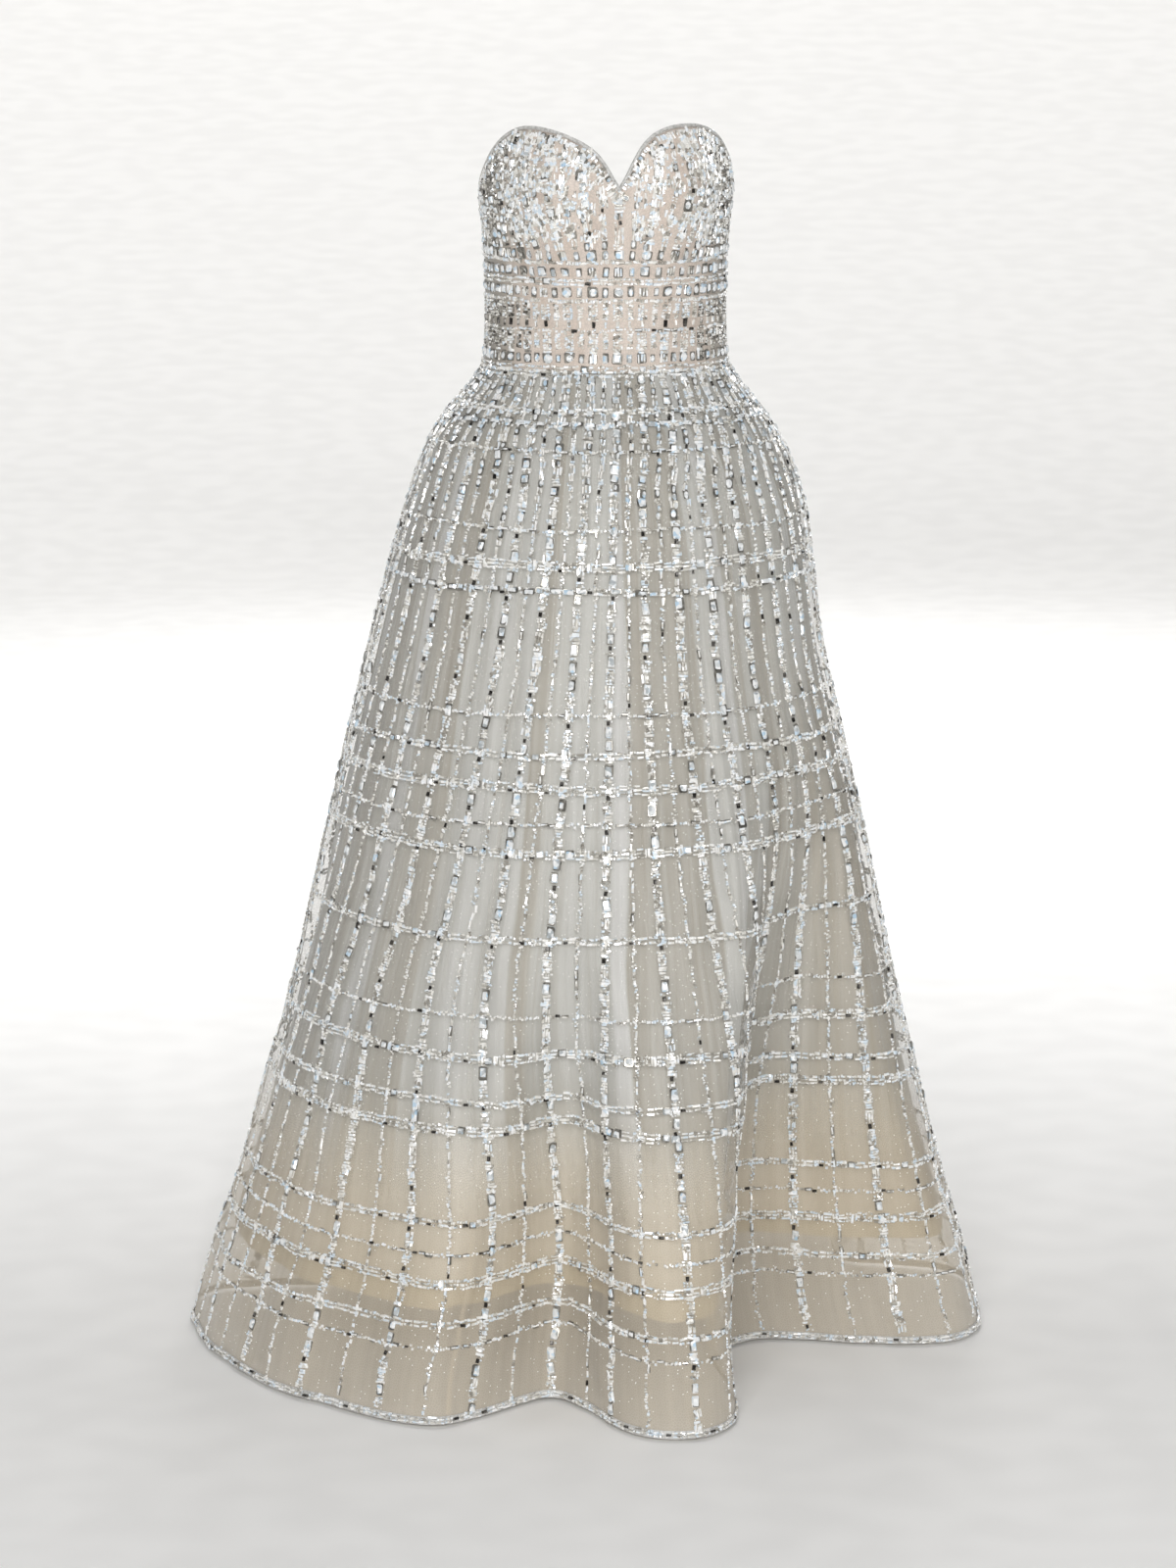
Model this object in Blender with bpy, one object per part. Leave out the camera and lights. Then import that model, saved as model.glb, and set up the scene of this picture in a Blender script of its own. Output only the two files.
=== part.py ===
# Strapless maxi dress in beaded tulle, filled out as if worn but with nobody in it.
# Metres, +Z up. The front faces -Y, and the origin is the middle of the waist seam.
# Every cloth piece is a thin wall on one surface, which two places name:
# around (0 and 1 at the centre back, 0.5 at the centre front, by cloth length) and height.

import functools
import math

import bmesh
import bpy
import numpy as np

WAIST_HEIGHT = 0.0
HEM_HEIGHT = -1.07
UNDERSKIRT_HEM_HEIGHT = -0.955
LINING_HEM_HEIGHT = -0.80
BACK_TOP_HEIGHT = 0.150

SEAM_GAP = 0.0003
BODICE_WALL = 0.0020
SKIRT_WALL = 0.0016
UNDERSKIRT_WALL = 0.0012
LINING_WALL = 0.0012

PIPING_RADIUS = 0.0020
HEM_TRIM_HEIGHT = 0.008
HEM_TRIM_WALL = 0.0015

ZIP_TAPE_WIDTH = 0.024
ZIP_TAPE_WALL = 0.0010
ZIP_TAPE_TOP = 0.143
ZIP_SLIDER_HEIGHT = 0.1425

# Where the panels meet, as parts of the way round
SIDE_BACK_SEAM = 0.09
SIDE_SEAM = 0.25
SIDE_FRONT_SEAM = 0.41

# The bodice, by height: half width, depth in front and behind, and how far the cups swell
BODICE_SECTIONS = (
    # height, half_width, front_depth, back_depth, cup_swell
    (0.000, 0.1335, 0.100, 0.098, 0.000),
    (0.020, 0.1307, 0.101, 0.097, 0.000),
    (0.060, 0.1289, 0.103, 0.097, 0.002),
    (0.100, 0.1297, 0.106, 0.099, 0.006),
    (0.140, 0.1311, 0.111, 0.101, 0.012),
    (0.180, 0.1352, 0.115, 0.103, 0.017),
    (0.205, 0.1358, 0.116, 0.104, 0.017),
    (0.230, 0.1330, 0.113, 0.104, 0.012),
    (0.262, 0.1270, 0.105, 0.104, 0.004),
)
CUP_ANGLE = 31.0
CUP_HALF_WIDTH = 32.0

# The top edge, by the angle from the centre front, on the wearer's right and left
NECKLINE = (
    # angle, right_height, left_height
    (0.0, 0.1915, 0.1915),
    (4.0, 0.2040, 0.2050),
    (8.0, 0.2180, 0.2210),
    (12.0, 0.2290, 0.2350),
    (17.5, 0.2385, 0.2470),
    (24.0, 0.2455, 0.2540),
    (31.0, 0.2510, 0.2578),
    (39.0, 0.2550, 0.2590),
    (48.0, 0.2568, 0.2580),
    (57.0, 0.2548, 0.2530),
    (65.0, 0.2470, 0.2440),
    (73.0, 0.2320, 0.2270),
    (83.0, 0.2070, 0.2040),
    (95.0, 0.1860, 0.1850),
    (110.0, 0.1695, 0.1695),
    (130.0, 0.1580, 0.1580),
    (150.0, 0.1520, 0.1520),
    (180.0, BACK_TOP_HEIGHT, BACK_TOP_HEIGHT),
)

# The skirt, by height: the stretched-out form before its folds, and how far its middle leans
SKIRT_SECTIONS = (
    # height, half_width, front_depth, back_depth, lean
    (0.000, 0.1335, 0.100, 0.098, 0.000),
    (-0.020, 0.1464, 0.117, 0.114, 0.000),
    (-0.040, 0.1640, 0.136, 0.133, -0.001),
    (-0.070, 0.1857, 0.160, 0.157, -0.001),
    (-0.100, 0.2005, 0.178, 0.175, 0.000),
    (-0.150, 0.2175, 0.200, 0.197, 0.000),
    (-0.220, 0.2327, 0.218, 0.216, -0.005),
    (-0.300, 0.2480, 0.236, 0.234, -0.010),
    (-0.400, 0.2715, 0.259, 0.257, -0.011),
    (-0.500, 0.2950, 0.283, 0.281, -0.011),
    (-0.600, 0.3165, 0.305, 0.303, -0.012),
    (-0.700, 0.3400, 0.330, 0.328, -0.013),
    (-0.800, 0.3660, 0.357, 0.355, -0.015),
    (-0.900, 0.3945, 0.387, 0.385, -0.017),
    (-1.000, 0.4240, 0.419, 0.417, -0.019),
    (-1.070, 0.4430, 0.440, 0.438, -0.021),
)

# The folds that hang in the skirt. Angles are in degrees from the centre front, + to the
# wearer's left. A fold starts at one height and is fully grown at another; its middle moves
# from one angle to the other as it grows. Depth is how far it goes in at the hem.
FOLDS = (
    # top_angle, hem_angle, flat_half, right_flank, left_flank, depth, start, full
    (-12.0, -13.5, 0.0, 17.0, 17.0, 0.128, -0.52, -0.97),
    (8.0, 6.5, 0.0, 13.0, 12.0, -0.020, -0.60, -1.00),
    (47.0, 40.5, 9.5, 21.0, 18.0, 0.225, -0.38, -1.06),
    (-44.0, -46.0, 0.0, 11.0, 11.0, 0.007, -0.60, -1.00),
    (-66.0, -68.0, 0.0, 9.0, 9.0, 0.006, -0.55, -1.00),
    (112.0, 113.0, 1.0, 14.0, 15.0, 0.105, -0.46, -1.02),
    (150.0, 152.0, 3.0, 17.0, 15.0, 0.165, -0.40, -1.04),
    (-120.0, -121.0, 4.0, 17.0, 16.0, 0.205, -0.38, -1.05),
    (-163.0, -163.0, 2.5, 13.5, 13.5, 0.130, -0.44, -1.03),
)
FOLD_TOP_WIDTH = 0.6

# The plan is drawn in this many steps, and each is evened out with those beside it
PLAN_STEPS = 1440
ROUNDING_STEPS = 7

# How much more cloth the front and back have than the sides, by height (0 is even)
CLOTH_SHARE = (
    # height, share
    (0.00, 0.10), (-0.12, 0.00), (-0.29, -0.14), (-0.60, -0.08), (-0.90, 0.00), (-1.07, 0.00),
)

# How far the layers under the skirt hang inside it
UNDERSKIRT_EASE = (
    # height, inwards
    (0.000, 0.0017), (-0.015, 0.0040), (-0.045, 0.0070), (-0.100, 0.0085), (-0.955, 0.0105),
)
LINING_EASE = (
    # height, inwards
    (0.000, 0.0032), (-0.018, 0.0075), (-0.060, 0.0150), (-0.150, 0.0225), (-0.800, 0.0270),
)
PLEAT_COUNT = 32
PLEAT_DEPTH = (
    # height, depth
    (0.000, 0.0000), (-0.045, 0.0008), (-0.100, 0.0035), (-0.955, 0.0045),
)

# Heights of the rows of each wall
SKIRT_ROWS = (0.0, -0.014, -0.034, -0.068, -0.115, -0.180, -0.275, -0.38, -0.48, -0.58, -0.67,
              -0.76, -0.85, -0.95, HEM_HEIGHT + HEM_TRIM_HEIGHT, HEM_HEIGHT)
UNDERSKIRT_ROWS = (0.0, -0.018, -0.055, -0.130, -0.32, -0.53, -0.66, -0.76, -0.86,
                   UNDERSKIRT_HEM_HEIGHT)
LINING_ROWS = (0.0, -0.018, -0.060, -0.150, -0.38, -0.54, -0.65, -0.73,
               LINING_HEM_HEIGHT)
BODICE_ROW_COUNT = 6

# Colour, roughness and metallic value of each material
MATERIALS = {
    "bodice_tulle": ((0.66, 0.55, 0.48), 0.55, 0.0),
    "skirt_tulle": ((0.58, 0.54, 0.47), 0.60, 0.0),
    "underskirt_organza": ((0.52, 0.47, 0.40), 0.60, 0.0),
    "slip_lining": ((0.62, 0.60, 0.56), 0.65, 0.0),
    "satin_piping": ((0.55, 0.55, 0.53), 0.40, 0.0),
    "glass_beads": ((0.70, 0.70, 0.68), 0.30, 0.0),
    "zip_tape": ((0.52, 0.47, 0.40), 0.75, 0.0),
    "zip_metal": ((0.60, 0.59, 0.56), 0.28, 1.0),
}


def smooth_curve(table, column, place):
    """Read one column of a table at any place, as a smooth curve through its rows."""
    rows = np.array(sorted(table), dtype=float)
    xs, ys = rows[:, 0], rows[:, column]
    place = np.clip(np.asarray(place, dtype=float), xs[0], xs[-1])
    slopes = np.gradient(ys, xs)
    cell = np.clip(np.searchsorted(xs, place, side="right") - 1, 0, len(xs) - 2)
    span = xs[cell + 1] - xs[cell]
    s = (place - xs[cell]) / span
    return ((1 + 2 * s) * (1 - s) ** 2 * ys[cell] + s * (1 - s) ** 2 * span * slopes[cell]
            + s * s * (3 - 2 * s) * ys[cell + 1] - s * s * (1 - s) * span * slopes[cell + 1])


def straight_curve(table, column, place):
    rows = np.array(sorted(table), dtype=float)
    return np.interp(place, rows[:, 0], rows[:, column])


def ellipse_radius(angle, half_width, front_depth, back_depth):
    """Distance from the middle to the form; the angle is in degrees from the front."""
    turn = np.radians(angle)
    ahead = np.cos(turn)
    depth = np.where(ahead > 0, front_depth, back_depth)
    return 1.0 / np.sqrt((np.sin(turn) / half_width) ** 2 + (ahead / depth) ** 2)


def bump(distance, half_width):
    """1 at the middle, easing to 0 at half_width."""
    part = np.clip(np.abs(distance) / half_width, 0, 1)
    return np.cos(part * math.pi / 2) ** 2


def fold_shape(angle, middle, flat_half, right_flank, left_flank, width):
    away = (angle - middle + 180.0) % 360.0 - 180.0
    beyond = np.maximum(np.abs(away) - flat_half * width, 0)
    flank = np.where(away > 0, left_flank, right_flank) * width
    return bump(beyond, flank)


def folded_plan(height):
    """The skirt's plan at one height as the tables give it: x and y, from the back round."""
    angle = np.linspace(-180.0, 180.0, PLAN_STEPS + 1)
    radius = ellipse_radius(angle, *(smooth_curve(SKIRT_SECTIONS, c, height) for c in (1, 2, 3)))
    for top_angle, hem_angle, flat_half, right_flank, left_flank, depth, start, full in FOLDS:
        grown = np.clip((start - height) / (start - full), 0, 1)
        grown = grown * grown * (3 - 2 * grown)
        middle = top_angle + (hem_angle - top_angle) * grown
        width = FOLD_TOP_WIDTH + (1 - FOLD_TOP_WIDTH) * grown
        radius = radius - depth * grown * fold_shape(
            angle, middle, flat_half, right_flank, left_flank, width)
    turn = np.radians(angle)
    return (radius * np.sin(turn) + smooth_curve(SKIRT_SECTIONS, 4, height),
            -radius * np.cos(turn))


def spread_cloth(around, height):
    """Move the places round the dress so that the front and back lines stand as they hang."""
    share = straight_curve(CLOTH_SHARE, 1, height)
    return around + share * np.sin(4 * math.pi * around) / (4 * math.pi)


def length_along(x, y):
    return np.concatenate(([0.0], np.cumsum(np.hypot(np.diff(x), np.diff(y)))))


@functools.lru_cache(maxsize=None)
def skirt_plan(height):
    """The plan with its folds rounded as cloth rounds them: share of the cloth, x and y."""
    x, y = folded_plan(height)
    length = length_along(x, y)
    even = np.linspace(0.0, length[-1], PLAN_STEPS + 1)
    x, y = np.interp(even, length, x)[:-1], np.interp(even, length, y)[:-1]
    for _ in range(3):
        reach = range(-ROUNDING_STEPS, ROUNDING_STEPS + 1)
        x = sum(np.roll(x, k) for k in reach) / len(reach)
        y = sum(np.roll(y, k) for k in reach) / len(reach)
    x, y = np.append(x, x[0]), np.append(y, y[0])
    length = length_along(x, y)
    ahead = np.flatnonzero((y[:-1] < 0) & (x[:-1] * x[1:] <= 0))[0]
    front = length[ahead]
    share = np.where(length <= front, 0.5 * length / front,
                     0.5 + 0.5 * (length - front) / (length[-1] - front))
    return share, x, y


def skirt_points(around, height):
    """Points of the skirt's middle surface on one level, by the share of cloth round each half."""
    share, x, y = skirt_plan(float(height))
    place = spread_cloth(np.asarray(around, dtype=float), height)
    place = place - np.floor(place)
    px, py = np.interp(place, share, x), np.interp(place, share, y)
    return np.stack([px, py, np.full(px.shape, float(height))], axis=-1)


def angle_at_waist(around):
    """The angle at which each place round the dress meets the waist seam."""
    points = skirt_points(around, WAIST_HEIGHT)
    return np.degrees(np.arctan2(points[:, 0], -points[:, 1]))


def neckline_height(angle):
    right, left = (smooth_curve(NECKLINE, side, np.abs(angle)) for side in (1, 2))
    return np.where(angle < 0, right, left)


def bodice_points(around, rise):
    """Points of the bodice's middle surface; rise is 0 at the waist and 1 at the top edge."""
    angle = angle_at_waist(around)
    height = rise * neckline_height(angle)
    radius = ellipse_radius(angle, *(smooth_curve(BODICE_SECTIONS, c, height) for c in (1, 2, 3)))
    swell = smooth_curve(BODICE_SECTIONS, 4, height)
    radius = radius + swell * bump(np.abs(angle) - CUP_ANGLE, CUP_HALF_WIDTH)
    turn = np.radians(angle)
    return np.stack([radius * np.sin(turn), -radius * np.cos(turn), height], axis=-1)


def surface_grid(point_row, around, levels):
    """A grid of points with the way out of the cloth at each, one row for each level."""
    step = 1e-4
    around = np.asarray(around, dtype=float)
    points, outward = [], []
    last = len(levels) - 1
    for k, level in enumerate(levels):
        here = point_row(around, level)
        along = point_row(around + step, level) - point_row(around - step, level)
        above, below = level, level
        if 0 < k < last:
            reach = 0.25 * min(abs(levels[k] - levels[k - 1]), abs(levels[k + 1] - levels[k]))
            above, below = level + reach, level - reach
            across = point_row(around, above) - point_row(around, below)
        else:
            across = np.zeros_like(here) + (0.0, 0.0, 1.0)
        normal = np.cross(along, across)
        normal /= np.linalg.norm(normal, axis=1)[:, None]
        points.append(here)
        outward.append(normal)
    return np.array(points), np.array(outward)


def step_in_sides(grid, gap):
    """Move the first and last columns along the cloth, so that a seam keeps its gap."""
    grid = grid.copy()
    for edge, beside in ((0, 1), (-1, -2)):
        way = grid[:, beside] - grid[:, edge]
        way /= np.linalg.norm(way, axis=1)[:, None]
        grid[:, edge] += way * gap
    return grid


def new_object(name, material, verts, faces, smooth=True):
    mesh = bpy.data.meshes.new(name)
    mesh.from_pydata([tuple(float(c) for c in v) for v in verts], [], faces)
    mesh.update()
    work = bmesh.new()
    work.from_mesh(mesh)
    bmesh.ops.recalc_face_normals(work, faces=work.faces)
    work.to_mesh(mesh)
    work.free()
    for face in mesh.polygons:
        face.use_smooth = smooth
    mesh.materials.append(material)
    item = bpy.data.objects.new(name, mesh)
    bpy.context.scene.collection.objects.link(item)
    return item


def add_wall(name, material, middle, outward, wall, closed=False):
    """A cloth wall of even thickness on a grid of points; closed joins its last column to its first."""
    rows, cols = middle.shape[:2]
    verts = np.concatenate([(middle + outward * wall / 2).reshape(-1, 3),
                            (middle - outward * wall / 2).reshape(-1, 3)])
    inside = rows * cols

    def outer(r, c):
        return r * cols + c % cols

    def inner(r, c):
        return inside + r * cols + c % cols

    faces = []
    spans = cols if closed else cols - 1

    def quad(a, b, c, d):
        faces.append((a, b, c))
        faces.append((a, c, d))

    for r in range(rows - 1):
        for c in range(spans):
            quad(outer(r, c), outer(r, c + 1), outer(r + 1, c + 1), outer(r + 1, c))
            quad(inner(r, c), inner(r, c + 1), inner(r + 1, c + 1), inner(r + 1, c))
    for c in range(spans):
        for r in (0, rows - 1):
            quad(outer(r, c), outer(r, c + 1), inner(r, c + 1), inner(r, c))
    if not closed:
        for r in range(rows - 1):
            for c in (0, cols - 1):
                quad(outer(r, c), outer(r + 1, c), inner(r + 1, c), inner(r, c))
    return new_object(name, material, verts, faces)


def add_tube(name, material, path, radius, sides):
    """A round cord along a path, with flat ends."""
    path = np.asarray(path, dtype=float)
    along = np.gradient(path, axis=0)
    along /= np.linalg.norm(along, axis=1)[:, None]
    rings = []
    for point, way in zip(path, along):
        across = np.array([point[0], point[1], 0.0])
        across -= way * np.dot(across, way)
        across /= np.linalg.norm(across)
        third = np.cross(way, across)
        turns = [2 * math.pi * k / sides for k in range(sides)]
        rings.append([point + radius * (math.cos(a) * across + math.sin(a) * third) for a in turns])
    verts = np.array(rings).reshape(-1, 3)
    faces = []
    for r in range(len(path) - 1):
        for k in range(sides):
            n = (k + 1) % sides
            a, b = r * sides + k, r * sides + n
            c, d = (r + 1) * sides + n, (r + 1) * sides + k
            faces += [(a, b, c), (a, c, d)]
    for start in (0, (len(path) - 1) * sides):
        faces += [(start, start + k, start + k + 1) for k in range(1, sides - 1)]
    return new_object(name, material, verts, faces)


def add_blocks(name, material, xs, ys, zs, filled):
    """One body from the filled cells of a small grid of blocks."""
    verts, index, faces = [], {}, []

    def vert(i, j, k):
        if (i, j, k) not in index:
            index[(i, j, k)] = len(verts)
            verts.append((xs[i], ys[j], zs[k]))
        return index[(i, j, k)]

    corners = {
        (-1, 0, 0): ((0, 0, 0), (0, 0, 1), (0, 1, 1), (0, 1, 0)),
        (1, 0, 0): ((1, 0, 0), (1, 1, 0), (1, 1, 1), (1, 0, 1)),
        (0, -1, 0): ((0, 0, 0), (1, 0, 0), (1, 0, 1), (0, 0, 1)),
        (0, 1, 0): ((0, 1, 0), (0, 1, 1), (1, 1, 1), (1, 1, 0)),
        (0, 0, -1): ((0, 0, 0), (0, 1, 0), (1, 1, 0), (1, 0, 0)),
        (0, 0, 1): ((0, 0, 1), (1, 0, 1), (1, 1, 1), (0, 1, 1)),
    }
    for cell in sorted(filled):
        for way, quad in corners.items():
            if tuple(a + b for a, b in zip(cell, way)) not in filled:
                a, b, c, d = (vert(*(p + q for p, q in zip(cell, corner))) for corner in quad)
                faces += [(a, b, c), (a, c, d)]
    return new_object(name, material, verts, faces, smooth=False)


def columns(start, end, count):
    return np.linspace(start, end, count + 1)


def eased_in(middle, outward, inwards):
    return middle - outward * inwards


for old in list(bpy.data.objects):
    bpy.data.objects.remove(old, do_unlink=True)

materials = {}
for slot, (colour, roughness, metallic) in MATERIALS.items():
    material = bpy.data.materials.new(slot)
    material.use_nodes = True
    shader = next(n for n in material.node_tree.nodes if n.type == "BSDF_PRINCIPLED")
    shader.inputs["Base Color"].default_value = (*colour, 1.0)
    shader.inputs["Roughness"].default_value = roughness
    shader.inputs["Metallic"].default_value = metallic
    materials[slot] = material

# Panels of the bodice and gores of the skirt, from the centre back round by the wearer's right
PANELS = (
    # place, start, end, bodice_columns, skirt_columns
    ("back_right", 0.0, SIDE_BACK_SEAM, 5, 9),
    ("side_back_right", SIDE_BACK_SEAM, SIDE_SEAM, 8, 17),
    ("side_front_right", SIDE_SEAM, SIDE_FRONT_SEAM, 10, 17),
    ("front", SIDE_FRONT_SEAM, 1 - SIDE_FRONT_SEAM, 18, 18),
    ("side_front_left", 1 - SIDE_FRONT_SEAM, 1 - SIDE_SEAM, 10, 17),
    ("side_back_left", 1 - SIDE_SEAM, 1 - SIDE_BACK_SEAM, 8, 17),
    ("back_left", 1 - SIDE_BACK_SEAM, 1.0, 5, 9),
)

rises = np.linspace(0.0, 1.0, BODICE_ROW_COUNT + 1)
for place, start, end, bodice_columns, skirt_columns in PANELS:
    middle, outward = surface_grid(bodice_points, columns(start, end, bodice_columns), rises)
    middle = step_in_sides(middle, SEAM_GAP / 2)
    middle[0, :, 2] += SEAM_GAP / 2
    add_wall("bodice_" + place, materials["bodice_tulle"], middle, outward, BODICE_WALL)

    middle, outward = surface_grid(skirt_points, columns(start, end, skirt_columns), SKIRT_ROWS)
    middle = step_in_sides(middle, SEAM_GAP / 2)
    middle[0, :, 2] -= SEAM_GAP / 2
    add_wall("skirt_" + place, materials["skirt_tulle"], middle, outward, SKIRT_WALL)

# The organza underskirt hangs in small pleats, and the slip lining hangs inside it
LAYER_PANELS = (
    # place, start, end, underskirt_columns, lining_columns
    ("back_right", 0.0, SIDE_SEAM, 24, 18),
    ("front", SIDE_SEAM, 1 - SIDE_SEAM, 48, 36),
    ("back_left", 1 - SIDE_SEAM, 1.0, 24, 18),
)
for place, start, end, underskirt_columns, lining_columns in LAYER_PANELS:
    around = columns(start, end, underskirt_columns)
    middle, outward = surface_grid(skirt_points, around, UNDERSKIRT_ROWS)
    level = np.array(UNDERSKIRT_ROWS)[:, None]
    pleat = 0.5 - 0.5 * np.cos(2 * math.pi * PLEAT_COUNT * around)[None, :]
    inwards = (straight_curve(UNDERSKIRT_EASE, 1, level)
               + straight_curve(PLEAT_DEPTH, 1, level) * pleat)
    middle = eased_in(middle, outward, inwards[:, :, None])
    middle = step_in_sides(middle, SEAM_GAP / 2)
    middle[0, :, 2] -= SEAM_GAP / 2
    add_wall("underskirt_" + place, materials["underskirt_organza"], middle, outward,
             UNDERSKIRT_WALL)

    around = columns(start, end, lining_columns)
    middle, outward = surface_grid(skirt_points, around, LINING_ROWS)
    inwards = straight_curve(LINING_EASE, 1, np.array(LINING_ROWS))[:, None, None]
    middle = eased_in(middle, outward, inwards)
    middle = step_in_sides(middle, SEAM_GAP / 2)
    middle[0, :, 2] -= SEAM_GAP / 2
    add_wall("slip_lining_" + place, materials["slip_lining"], middle, outward, LINING_WALL)

# The rolled piping lies along the top edge and stops at the centre back
edge_around = np.concatenate([columns(start, end, count)[:-1]
                              for _, start, end, count, _ in PANELS] + [[1.0]])
edge = bodice_points(edge_around, 1.0)
run = np.hypot(*np.diff(edge[:, :2], axis=0).T)
slope = np.abs(np.diff(edge[:, 2])) / run
steepest = np.maximum(np.append(slope, slope[-1]), np.insert(slope, 0, slope[0]))
edge[:, 2] += (PIPING_RADIUS + SEAM_GAP) * np.sqrt(1 + steepest ** 2)
for end, beside in ((0, 1), (-1, -2)):
    way = edge[beside] - edge[end]
    edge[end] += way / np.linalg.norm(way) * SEAM_GAP
add_tube("neckline_piping", materials["satin_piping"], edge, PIPING_RADIUS, 5)

# The bead trim lies on the hem, from the skirt's own points moved out
hem_around = np.concatenate([columns(start, end, count)[:-1]
                             for _, start, end, _, count in PANELS])
hem_middle, hem_outward = surface_grid(skirt_points, hem_around, SKIRT_ROWS)
trim_outward = hem_outward[-2:]
trim_middle = hem_middle[-2:] + trim_outward * (SKIRT_WALL / 2 + SEAM_GAP + HEM_TRIM_WALL / 2)
add_wall("hem_trim", materials["glass_beads"], trim_middle, trim_outward, HEM_TRIM_WALL,
         closed=True)

# The zip's tape, behind the centre back seam and then inside the slip lining
tape_rows, tape_ways = [], []
tape_behind_bodice = BODICE_WALL / 2 + 0.0004 + ZIP_TAPE_WALL / 2
tape_behind_lining = 0.0019


def tape_places(points_at):
    """Places round the dress that stand within half a tape's width of the centre back."""
    probe = points_at(np.array([0.0, 0.01]))
    per_metre = 0.01 / np.linalg.norm(probe[1] - probe[0])
    return np.array([-1.0, -0.5, 0.0, 0.5, 1.0]) * ZIP_TAPE_WIDTH / 2 * per_metre


bodice_rises = [ZIP_TAPE_TOP / BACK_TOP_HEIGHT, 0.66, 0.40, 0.14]
places = tape_places(lambda around: bodice_points(around, 0.5))
middle, outward = surface_grid(bodice_points, places, bodice_rises)
tape_rows += list(middle - outward * tape_behind_bodice)
tape_ways += list(outward)
for k, level in enumerate(LINING_ROWS[:4]):
    places = tape_places(lambda around: skirt_points(around, level))
    middle, outward = surface_grid(skirt_points, places, LINING_ROWS)
    inwards = straight_curve(LINING_EASE, 1, level) + tape_behind_lining
    tape_rows.append(middle[k] - outward[k] * inwards)
    tape_ways.append(outward[k])
add_wall("zip_tape", materials["zip_tape"], np.array(tape_rows), np.array(tape_ways),
         ZIP_TAPE_WALL)

# The zip's slider sits at the top of the centre back seam, with a bridge for the pull
back_face = max(bodice_points(np.array([0.0]), h / BACK_TOP_HEIGHT)[0, 1]
                for h in (0.138, 0.1425, 0.147)) + BODICE_WALL / 2 + SEAM_GAP
BODY_DEPTH = 0.0024
BRIDGE_REACH = 0.0045
BRIDGE_HALF = 0.0006
slider_x = (-0.0035, -0.0022, -0.0013, 0.0013, 0.0022, 0.0035)
slider_y = (back_face, back_face + BODY_DEPTH, back_face + BRIDGE_REACH - BRIDGE_HALF,
            back_face + BRIDGE_REACH + BRIDGE_HALF)
slider_z = tuple(ZIP_SLIDER_HEIGHT + h for h in (-0.0045, -BRIDGE_HALF, BRIDGE_HALF, 0.0045))
body_cells = {(i, 0, k) for i in range(5) for k in range(3)}
post_cells = {(i, j, 1) for i in (1, 3) for j in (1, 2)}
bridge_cells = {(2, 2, 1)}
add_blocks("zip_slider", materials["zip_metal"], slider_x, slider_y, slider_z,
           body_cells | post_cells | bridge_cells)

# The pull's eye goes round the bridge, and its tab hangs down
EYE_HOLE = 0.00093
EYE_RADIUS = 0.0018
EYE_SIDES = 16
TAB_HALF_WIDTH = 0.0010
TAB_END_HALF_WIDTH = 0.0023
TAB_LENGTH = 0.019
verts, faces = [], []
turns = [2 * math.pi * (k + 0.5) / EYE_SIDES - math.pi / 2 for k in range(EYE_SIDES)]
for radius in (EYE_HOLE, EYE_RADIUS):
    for x in (-TAB_HALF_WIDTH, TAB_HALF_WIDTH):
        verts += [(x, radius * math.cos(a), radius * math.sin(a)) for a in turns]
hole_a, hole_b, rim_a, rim_b = (n * EYE_SIDES for n in range(4))


def both_ways(quad):
    a, b, c, d = quad
    return [(a, b, c), (a, c, d)]


# The two lowest rim faces are open, where the tab starts
open_faces = (EYE_SIDES - 2, EYE_SIDES - 1, 0)
for k in range(EYE_SIDES):
    n = (k + 1) % EYE_SIDES
    faces += both_ways((hole_a + k, hole_a + n, rim_a + n, rim_a + k))
    faces += both_ways((hole_b + k, hole_b + n, rim_b + n, rim_b + k))
    faces += both_ways((hole_a + k, hole_a + n, hole_b + n, hole_b + k))
    if k not in open_faces:
        faces += both_ways((rim_a + k, rim_a + n, rim_b + n, rim_b + k))
strip = [EYE_SIDES - 2, EYE_SIDES - 1, 0, 1]
rows_a = [[rim_a + k for k in strip]]
rows_b = [[rim_b + k for k in strip]]
TAB_SECTIONS = (
    # down, half_width, half_thickness
    (0.0040, 0.0012, 0.00065),
    (0.0080, 0.0019, 0.00060),
    (0.0160, TAB_END_HALF_WIDTH, 0.00060),
    (TAB_LENGTH, 0.0014, 0.00050),
)
for down, half_width, half_thickness in TAB_SECTIONS:
    for rows, side in ((rows_a, -1), (rows_b, 1)):
        rows.append([len(verts) + n for n in range(4)])
        for share in (-1.0, -0.35, 0.35, 1.0):
            verts.append((side * half_width, share * half_thickness, -down))
for upper_a, lower_a, upper_b, lower_b in zip(rows_a, rows_a[1:], rows_b, rows_b[1:]):
    for n in range(3):
        faces += both_ways((upper_a[n], upper_a[n + 1], lower_a[n + 1], lower_a[n]))
        faces += both_ways((upper_b[n], upper_b[n + 1], lower_b[n + 1], lower_b[n]))
    for n in (0, 3):
        faces += both_ways((upper_a[n], lower_a[n], lower_b[n], upper_b[n]))
for n in range(3):
    faces += both_ways((rows_a[-1][n], rows_a[-1][n + 1], rows_b[-1][n + 1], rows_b[-1][n]))
pull = new_object("zip_pull", materials["zip_metal"], verts, faces, smooth=False)
pull.location = (0.0, back_face + BRIDGE_REACH, ZIP_SLIDER_HEIGHT)
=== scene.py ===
# Looks of the beaded tulle maxi dress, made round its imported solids. Metres, front at -Y.

import collections
import functools
import math

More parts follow.
